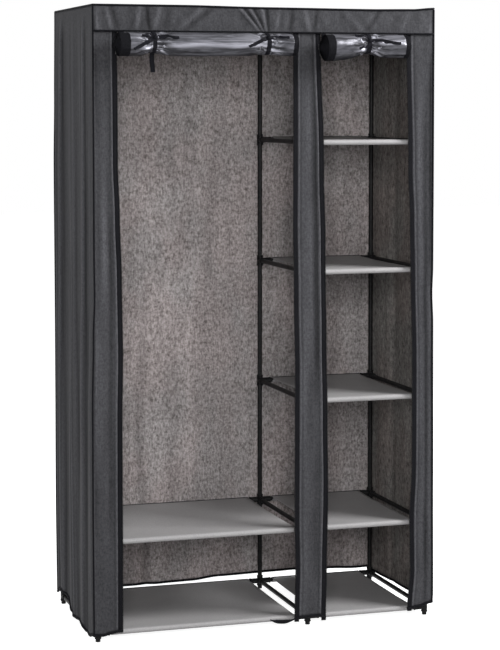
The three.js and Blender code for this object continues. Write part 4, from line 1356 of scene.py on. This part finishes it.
def makeZips():
    for edge, (strip, across, direction) in zipEdges.items():
        bottom = blendTable(hemSetup[stripShapes[strip]["hem"]], across) * mm - zipSetup["tail"]

        def at(share, up, edge=edge, direction=direction, bottom=bottom):
            inwards = stripSetup["tape"] * (1 - share if direction < 0 else share)
            z = bottom + (stripSetup["top"] - bottom) * up
            return zipPoint(edge, inwards, z) + Vector((0, -zipSetup["stand"], 0))

        tape = clothGrid(f"zip_tape_{edge}", 4, 120, at)
        paint(tape, blackTape, blackTape)
        giveThickness(tape, zipSetup["thick"])
        settle(tape, "wardrobe")
        makeTeeth(edge, bottom)


def makeTeeth(edge, bottom):
    # One tooth, repeated up the edge and then set along the tape
    size = zipSetup
    teeth = makeBlock(f"zip_teeth_{edge}", (size["toothWidth"], size["toothDeep"], size["toothTall"]),
                      (0, 0, 0), size["toothEdge"], 1)
    count = int((stripSetup["top"] - bottom) / size["pitch"])
    useModifier(teeth, "ARRAY", count=count, use_relative_offset=False, use_constant_offset=True,
                constant_offset_displace=(0, 0, size["pitch"]))
    for vertex in teeth.data.vertices:
        x, y, up = vertex.co
        vertex.co = zipPoint(edge, 0, bottom + size["toothTall"] + up) + Vector((x, y - size["stand"], 0))
    paint(teeth, zipTeeth)
    settle(teeth, "wardrobe", angle=40)


makeZips()

# Loose end of the binding below the middle strip: millimetres from the left post's axis and above the floor
slackEnd = {
    "line": [(572, 24), (556, 19), (538, 17), (520, 18), (505, 21), (496, 25)],
    "steps": 6,
    "width": 13,
    "narrower": 10,  # at its two ends
    "behind": 2,  # the seam plane, and one more at each point of the line
}


def makeSlackEnd():
    behind = slackEnd["behind"]
    path = curveThrough([Vector((postX["left"] + along * mm, coverEdge["front"] + (behind + k) * mm, up * mm))
                         for k, (along, up) in enumerate(slackEnd["line"])], slackEnd["steps"])
    last = len(path) - 1
    widths = [(slackEnd["width"] - slackEnd["narrower"] * soft(abs(2 * k / last - 1))) * mm
              for k in range(last + 1)]
    upright = [Vector((0, 0.4 * math.sin(k * 0.3), 1)).normalized() for k in range(last + 1)]
    flap = ribbonAlong("front_strip_middle_slack", path, widths, upright)
    paint(flap, blackTape)
    settle(flap, "wardrobe")


makeSlackEnd()
print("strips and zips are in place")

# Rolled doors. In millimetres: radius, core, the black bands at both ends, how far the inner turns stand out
# there, and the ridge's height. Places along the roll are shares of its length, sizes are shares of the
# radius, and turns count from the back, down and round
rollSetup = {
    "left": {
        "body": "door_left", "joint": "door_left_drop", "edges": ("leftOuter", "leftInner"),
        "radius": 34.5, "turns": 11, "core": 5, "bands": (27, 15),
        "sizes": [(0, 0.99), (0.05, 0.99), (0.12, 0.96), (0.175, 0.86), (0.193, 0.83), (0.215, 0.88),
                  (0.28, 0.96), (0.38, 0.985), (0.58, 0.97), (0.74, 0.93), (0.815, 0.87), (0.83, 0.85),
                  (0.85, 0.88), (0.90, 0.91), (1.0, 0.92)],
        "ties": (0.193, 0.83), "columns": 150,
        "telescope": (13, -4),
        "ridge": {"turn": 0.485, "reach": 0.07, "height": 3.4, "between": (0.22, 0.81)},
    },
    "right": {
        "body": "door_right", "joint": "door_right_drop", "edges": ("rightInner", "rightOuter"),
        "radius": 36, "turns": 11, "core": 5, "bands": (22, 15),
        "sizes": [(0, 1.09), (0.08, 1.08), (0.2, 1.04), (0.34, 0.97), (0.44, 0.87), (0.505, 0.76),
                  (0.54, 0.75), (0.58, 0.85), (0.66, 0.92), (0.78, 0.955), (1.0, 0.97)],
        "ties": (0.522,), "columns": 110,
        "telescope": (16, 3),
        "ridge": {"turn": 0.54, "reach": 0.06, "height": 2.6, "between": (0.58, 0.97)},
    },
}
rollCloth = 0.8 * mm
rollInner = 13 * mm  # how far the inner turns stand out at the left end
rollFlat = 0.96  # height of the roll against its depth
rollHang = 0.985  # its axis below its top, as a share of the radius
shownTurns = 1.1  # the outermost turns, which show
creaseSetup = {
    "reach": 42,  # millimetres from a tie
    "clear": 7,  # and smooth as near to it as this
    "pleats": 5,
    "depth": 4.4 * mm,
    "slack": 2.4 * mm,
    "fine": 1.0 * mm,
    "sharp": 1.8 * mm,
    "settled": 1.2 * mm,  # how much smaller the creases leave the roll
    "tapeRidge": 0.55 * mm,
    "ridgePitch": 4.2 * mm,
    "endWander": 2.2 * mm,  # how unevenly the turns end
}
# Painted highlight and shade on the rolls' silver lining, and how the roll's rows are shared out
shineSetup = {
    "plain": 0.13,
    # painted light on the front and above
    "front": 0.10,  # added on the front and above
    # painted shade below
    "under": 0.16,  # taken off below
    # painted highlight along the ridge, and painted glints in streaks and in rays from the ties
    "ridge": 0.75,
    "ridgeWidth": 0.024,
    "streak": 0.42,
    "ray": 0.9,
    "reach": 62,  # millimetres from a tie
    "fineRows": 100,  # most rows go to the turns that show
    "rowsPerTurn": 20,
}
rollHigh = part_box("door_roll_left")[1]
rollBack = rollHigh.y  # plane of the curtain at the back of the rolls
rollTop = rollHigh.z - 2 * mm
rollSpan = {side: (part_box("door_roll_" + side)[0].x + rollInner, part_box("door_roll_" + side)[1].x)
            for side in rollSetup}


def rollFacts(side):
    return rollSetup[side], *rollSpan[side]


def rollRadius(setup, share):
    return setup["radius"] * mm * blendTable(setup["sizes"], share)


def pleatsAt(setup, length, share, angle):
    # Creases that run out from each tie to both sides
    clear, wide = creaseSetup["clear"], creaseSetup["reach"]
    total = 0.0
    for number, tie in enumerate(setup["ties"]):
        away = (share - tie) * length / mm
        reach = abs(away)
        if reach < clear or reach > wide * 1.4:
            continue
        near = soft((reach - clear) / clear) * soft((wide * 1.4 - reach) / wide)
        phase = 1.3 * number + (2.1 if away > 0 else 0.4) + 0.35 * math.sin(reach / 15)
        fan = angle * (creaseSetup["pleats"] - 1.2 * reach / wide)
        pleat = 0.75 - 1.9 * abs(math.sin(fan / 2 + phase)) ** 0.8
        pleat += 0.5 * math.cos(angle * 9 + phase * 3)
        total += near * pleat * creaseSetup["depth"]
    return total


def ridgeTurn(ridge, share):
    # The turn at which the ridge lies there
    return ridge["turn"] + 0.012 * math.sin(share * 17)


def paintedShineAt(setup, length, share, turn, x):
    # Painted highlight and shade on the silver coating, from 0 to 1: lighter on the front and above, darker
    # below, a painted highlight along the ridge, and painted glints in streaks and in rays from the ties
    angle = 2 * math.pi * turn
    back, down = math.cos(angle), math.sin(angle)
    size = shineSetup
    shine = size["plain"] + size["front"] * soft((turn - 0.42) / 0.2)
    shine -= size["under"] * soft((0.42 - turn) / 0.12)
    ridge = setup["ridge"]
    along = within(share, *ridge["between"], 0.05)
    crest = ridgeTurn(ridge, share)
    ridgeHighlight = size["ridge"] * bump(turn, crest, size["ridgeWidth"])
    wideRidgeHighlight = 0.06 * bump(turn, crest + 0.08, 0.06)
    shine += along * (ridgeHighlight + wideRidgeHighlight)
    streak = size["streak"] * (0.35 + 0.65 * soft((turn - crest + 0.02) / 0.05))
    shine += streak * noise.noise(Vector((x * 9, back * 3.0, down * 3.0)))
    shine += streak * 0.8 * noise.noise(Vector((x * 22, back * 8.0, down * 8.0 + 4)))
    for number, tie in enumerate(setup["ties"]):
        away = (share - tie) * length / mm
        reach = abs(away)
        near = soft((size["reach"] - reach) / size["reach"])
        lean = turn + (0.10 * (0.58 - turn)) * reach / 20
        ray = noise.noise(Vector((lean * 26, 3.7 * number + (5 if away > 0 else 0), reach * 0.012)))
        shine += near * (size["ray"] * ray * 2.2 + 0.10)
    return max(0.0, min(1.0, shine))


def rollPoint(side, share, turn, lift=0.0):
    # A point of the spiral: turn counts from the back, down and round to the front
    setup, starts, ends = rollFacts(side)
    size = creaseSetup
    length = ends - starts
    x = starts + length * share
    outer = rollRadius(setup, share)
    core = setup["core"] * mm
    inward = turn / setup["turns"]
    radius = outer + (core - outer) * inward
    angle = 2 * math.pi * turn
    back, down = math.cos(angle), math.sin(angle)
    crease = pleatsAt(setup, length, share, angle)
    crease += size["slack"] * noise.noise(Vector((x * 6, back * 1.1, down * 1.1 + turn * 0.15)))
    crease += size["fine"] * noise.noise(Vector((x * 18, back * 2.6, down * 2.6 + 5)))
    fold = noise.noise(Vector((x * 3.5, back * 1.9 + 8, down * 1.9)))
    crease += size["sharp"] * (1 - 3.2 * abs(fold))
    ridge = setup["ridge"]
    along = within(share, *ridge["between"], 0.06)
    fromRidge = abs(turn - ridgeTurn(ridge, share)) / ridge["reach"]
    crease += ridge["height"] * mm * along * max(0.0, 1 - fromRidge)
    fromEnd = min(share, 1 - share) * length
    tape = soft((setup["bands"][0 if share < 0.5 else 1] * mm - fromEnd) / (3 * mm))
    tapeRidge = size["tapeRidge"] * math.sin(2 * math.pi * fromEnd / size["ridgePitch"])
    crease = crease * (1 - 0.7 * tape) + tape * tapeRidge
    # Flatter against the curtain behind it, and closer wound inside
    crease *= (1 - 0.7 * inward) * (1 - 0.6 * max(0.0, back) ** 2)
    radius = max(radius + crease - size["settled"] + lift, core * 0.5)
    y = rollBack - outer - 0.6 * mm + radius * back
    z = rollTop - outer * rollHang - radius * rollFlat * down
    return Vector((x, min(y, rollBack), min(z, rollTop)))


def rollFront(side, share, z, lift):
    # The point on the front of a roll at that height
    outer = rollRadius(rollSetup[side], share)
    rise = (z - rollTop + outer * rollHang) / (outer * rollFlat)
    turn = 0.5 + math.asin(max(-0.95, min(0.95, rise))) / (2 * math.pi)
    return rollPoint(side, share, turn, lift)


def makeRoll(side):
    setup, starts, ends = rollFacts(side)
    length = ends - starts
    turns = setup["turns"]
    fineRows = shineSetup["fineRows"]
    rows = fineRows + round((turns - shownTurns) * shineSetup["rowsPerTurn"])
    outs, wander = setup["telescope"], creaseSetup["endWander"]
    shine = []

    def at(across, around):
        share = across - 0.6 * math.sin(2 * math.pi * across) / (2 * math.pi)
        row = rows * (1 - around)
        turn = shownTurns * row / fineRows
        if row > fineRows:
            turn = shownTurns + (turns - shownTurns) * (row - fineRows) / (rows - fineRows)
        shine.append(paintedShineAt(setup, length, share, turn, starts + length * share))
        point = rollPoint(side, share, turn)
        inward = turn / turns
        atStart = outs[0] * mm * inward + wander * noise.noise(Vector((turn * 0.9, 3.0, 1.0)))
        atEnd = outs[1] * mm * inward + wander * noise.noise(Vector((turn * 0.9, 9.0, 1.0)))
        point.x += atEnd * soft((share - 0.9) / 0.1) - atStart * (1 - soft(share / 0.12))
        return point

    roll = clothGrid(f"door_roll_{side}_cloth", setup["columns"], rows, at)
    # The painted shine goes into the crease marks, which the lining reads for its colour
    for mark, value in zip(roll.data.attributes["crease"].data, shine):
        mark.value = value
    paint(roll, coverCloth, doorLining, blackTape, blackTape)
    for face in roll.data.polygons:
        centre = sum(roll.data.vertices[corner].co.x for corner in face.vertices) / len(face.vertices)
        black = centre - starts < setup["bands"][0] * mm or ends - centre < setup["bands"][1] * mm
        face.material_index = 2 if black else 0
    giveThickness(roll, rollCloth)
    settle(roll, setup["body"], [f"door_roll_{side}"])
    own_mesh(roll)


makeRoll("left")
makeRoll("right")
print("doors are rolled")


curtainSetup = {
    "cells": 60,
    "gap": 2.4 * mm,  # beside the strip
    "short": 1 * mm,  # of the roll's end
    "above": 4 * mm,  # the lower end of the node
    "front": 0.5 * mm,
    "ripple": 0.3 * mm,
    "thick": 0.6 * mm,
}


def makeCurtain(side):
    # The flat stretch of the door between the seam and its roll
    setup, size = rollSetup[side], curtainSetup
    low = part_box(f"door_curtain_{side}")[0].z
    bottom = low + size["above"]
    left, right = edgeAt(setup["edges"][0], 1.65) + size["gap"], rollSpan[side][1] - size["short"]

    def at(across, up):
        z = bottom + (stripSetup["top"] - bottom) * up
        x = left + (right - left) * across
        ripple = size["ripple"] * noise.noise(Vector((x * 30, z * 30, 1)))
        return Vector((x, rollBack - size["front"] - ripple, z))

    curtain = clothGrid(f"door_curtain_{side}_cloth", size["cells"], size["cells"], at)
    paint(curtain, coverCloth, doorLining, blackTape, blackTape)
    for face in curtain.data.polygons:
        centre = sum(curtain.data.vertices[v].co.x for v in face.vertices) / len(face.vertices)
        face.material_index = 2 if min(centre - left, right - centre) < stripSetup["tape"] else 0
    giveThickness(curtain, size["thick"])
    makeActive(curtain)
    bpy.ops.object.shade_smooth()
    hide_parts(f"door_curtain_{side}")
    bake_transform(curtain)


makeCurtain("left")
makeCurtain("right")

# Tails: sideways and upwards from the knot, in millimetres, at the bend and at the tip
tieSetup = {
    "tie_left_outer": {
        "side": "left", "share": 0.193, "hanging": 52, "knotUp": 1660,
        "tails": [((-26, -15), (-62, -33)), ((30, 1), (64, -1)), ((-20, 5), (-38, 4))]},
    "tie_left_inner": {
        "side": "left", "share": 0.83, "hanging": 0, "knotUp": 1661,
        "tails": [((-24, -8), (-62, -25)), ((28, 1), (58, 2))]},
    "tie_right": {
        "side": "right", "share": 0.522, "hanging": 0, "knotUp": 1657,
        "tails": [((-22, 10), (-44, 14)), ((36, -2), (86, -8)), ((-10, -16), (-34, -22))]},
}
ribbonSetup = {
    "width": 13 * mm,
    "tailWidth": 11.5 * mm,
    "taper": 0.35,
    "knot": 5.2 * mm,
    "knotWaves": 0.14,
    "stand": 2.0 * mm,  # in front of the roll
    "behind": 1.2 * mm,  # the curtain
}


def makeKnot(place):
    deselectAll()
    bpy.ops.mesh.primitive_uv_sphere_add(segments=24, ring_count=14, radius=ribbonSetup["knot"],
                                         location=(0, 0, 0))
    knot = takeActive("knot")
    for vertex in knot.data.vertices:
        across, deep, up = vertex.co
        wrap = 1 + ribbonSetup["knotWaves"] * math.sin(across * 2000 + up * 1100)
        vertex.co = place + Vector((across * 1.1 * wrap, deep * 0.75, up * 1.25 * wrap))
    paint(knot, ribbonCloth)
    return knot


def makeTail(tie, knotAt, bend, tip, number):
    starts, ends = rollSpan[tie["side"]]
    stops = [(0.35 * bend[0], 0.35 * bend[1]), bend,
             ((bend[0] + tip[0]) / 2, (bend[1] + tip[1]) / 2 - 1.0), tip]
    path = [knotAt]
    for step, (aside, up) in enumerate(stops):
        share = min(1, max(0, tie["share"] + aside * mm / (ends - starts)))
        seat = rollFront(tie["side"], share, knotAt.z + up * mm, (1.6 + 0.8 * step) * mm)
        path.append(Vector((knotAt.x + aside * mm, seat.y, knotAt.z + up * mm)))
    path = curveThrough(path, 7)
    last = len(path) - 1
    widths, widthways = [], []
    for k in range(last + 1):
        ahead = (path[min(k + 1, last)] - path[max(k - 1, 0)]).normalized()
        flat = ahead.cross(Vector((0, -1, 0))).normalized()
        widthways.append((flat + Vector((0, 0.5 * math.sin(k * 0.30 + number * 2), 0))).normalized())
        along = k / last
        opening = 0.5 + 0.5 * soft(along / 0.25)
        taper = 1 - ribbonSetup["taper"] * soft((along - 0.45) / 0.55)
        widths.append(ribbonSetup["tailWidth"] * opening * taper)
    return ribbonAlong(f"tail{number}", path, widths, widthways)


def makeTie(node, tie):
    setup, starts, ends = rollFacts(tie["side"])
    width = ribbonSetup["width"]
    x = starts + (ends - starts) * tie["share"]
    grip = ribbonThick / 2 + ribbonSetup["stand"]
    behind = rollBack + ribbonSetup["behind"]
    # From the seam down behind the roll, round it and up again
    band = [Vector((x, behind, stripSetup["top"] - 1 * mm)), Vector((x, behind, rollTop - 25 * mm))]
    band += [rollPoint(tie["side"], tie["share"], 0.08 + k / 40 * 0.67, grip) for k in range(41)]
    band.append(Vector((x, rollBack - 3 * mm, rollTop + 0.4 * mm)))
    knotAt = rollFront(tie["side"], tie["share"], tie["knotUp"] * mm, grip + 2.4 * mm)
    widths = []
    for point in band:
        gathered = bump(point.z / mm, knotAt.z / mm, 7) if point.y < rollBack - 20 * mm else 0
        widths.append(width * (1 - 0.5 * gathered))
    sideways = [Vector((1, 0, 0.06 * math.sin(k * 0.7))) for k in range(len(band))]
    pieces = [ribbonAlong("band", band, widths, sideways), makeKnot(knotAt)]
    for number, (bend, tip) in enumerate(tie["tails"]):
        pieces.append(makeTail(tie, knotAt, bend, tip, number))
    # A dark ribbon strip hangs down behind the roll, below the tie
    if tie["hanging"]:
        low = rollPoint(tie["side"], tie["share"], 0.25, grip).z - tie["hanging"] * mm
        top = Vector((x + 5 * mm, behind, rollTop - 20 * mm))
        bottom = Vector((x + 6 * mm, behind - 1 * mm, low))
        path = [top.lerp(bottom, k / 16) + Vector((1.2 * mm * math.sin(k * 0.5), 0, 0)) for k in range(17)]
        pieces.append(ribbonAlong("hangingStrip", path, [width] * 17, [Vector((1, 0, 0))] * 17))
    made = joinPieces(pieces, f"{node}_band")
    paint(made, ribbonCloth)
    settle(made, "wardrobe", [node])
    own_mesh(made)


for tieNode, tie in tieSetup.items():
    makeTie(tieNode, tie)
print("doors are tied")


sliderSetup = {
    "bodyTall": 14.5 * mm,
    "frontInset": 1.5 * mm,  # the body's front behind the pull's
    "metal": 1.1 * mm,
    "inset": 0.6 * mm,  # middle of a plate behind its outer face
    "plateEdge": 0.5 * mm,
    "webShort": 2 * mm,
    "webEdge": 0.3 * mm,
    "bridgeRadius": 1.6 * mm,
    "bridgeHalf": 1.2 * mm,
    "bridgeDown": 7 * mm,
    "pullWide": 5 * mm,
    "pullDown": 6 * mm,
    "pullEdge": 0.45 * mm,
    "holeRadius": 1.2 * mm,
    "holeUp": 3.4 * mm,
    "corners": 20,
}
# Which side of each slider its wedge is on: -1 for the right, 1 for the left
sliderWedges = {"zip_slider_left_outer": -1, "zip_slider_left_inner": 1,
                "zip_slider_right_inner": -1, "zip_slider_right_outer": 1}


def makeSlider(node, towards):
    # Zip slider: two plates joined by a wedge, with a pull hung from a bridge
    size = sliderSetup
    low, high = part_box(node)
    middle = (low + high) / 2
    front, back = low.y + size["frontInset"], high.y
    bodyLow = high.z - size["bodyTall"]
    bodyMiddle = (bodyLow + high.z) / 2
    parts = [makeBlock("plate", (high.x - low.x, size["metal"], high.z - bodyLow), (middle.x, y, bodyMiddle),
                       size["plateEdge"]) for y in (front + size["inset"], back - size["inset"])]
    bridgeUp = high.z - size["bridgeDown"]
    parts.append(straightBar("bridge", size["bridgeRadius"], (middle.x - size["bridgeHalf"], front, bridgeUp),
                             (middle.x + size["bridgeHalf"], front, bridgeUp), size["corners"], 0.3 * mm))
    wedgeX = low.x + size["inset"] if towards > 0 else high.x - size["inset"]
    parts.append(makeBlock("web", (size["metal"], back - front, high.z - bodyLow - size["webShort"]),
                           (wedgeX, (front + back) / 2, bodyMiddle), size["webEdge"], 1))
    pullHigh = high.z - size["pullDown"]
    pull = makeBlock("pull", (size["pullWide"], size["metal"], pullHigh - low.z),
                     (middle.x, low.y + size["inset"], (low.z + pullHigh) / 2), size["pullEdge"])
    holeUp = low.z + size["holeUp"]
    hole = straightBar("hole", size["holeRadius"], (middle.x, low.y - 2 * mm, holeUp),
                       (middle.x, low.y + 4 * mm, holeUp), size["corners"], 0)
    useModifier(pull, "BOOLEAN", operation="DIFFERENCE", solver="EXACT", object=hole)
    bpy.data.objects.remove(hole)
    parts.append(pull)
    slider = joinPieces(parts, node + "_metal")
    paint(slider, zipMetal)
    settle(slider, node.replace("zip_", ""), [node], hardAngle)


for sliderNode, towards in sliderWedges.items():
    makeSlider(sliderNode, towards)
print("sliders are on their zips")
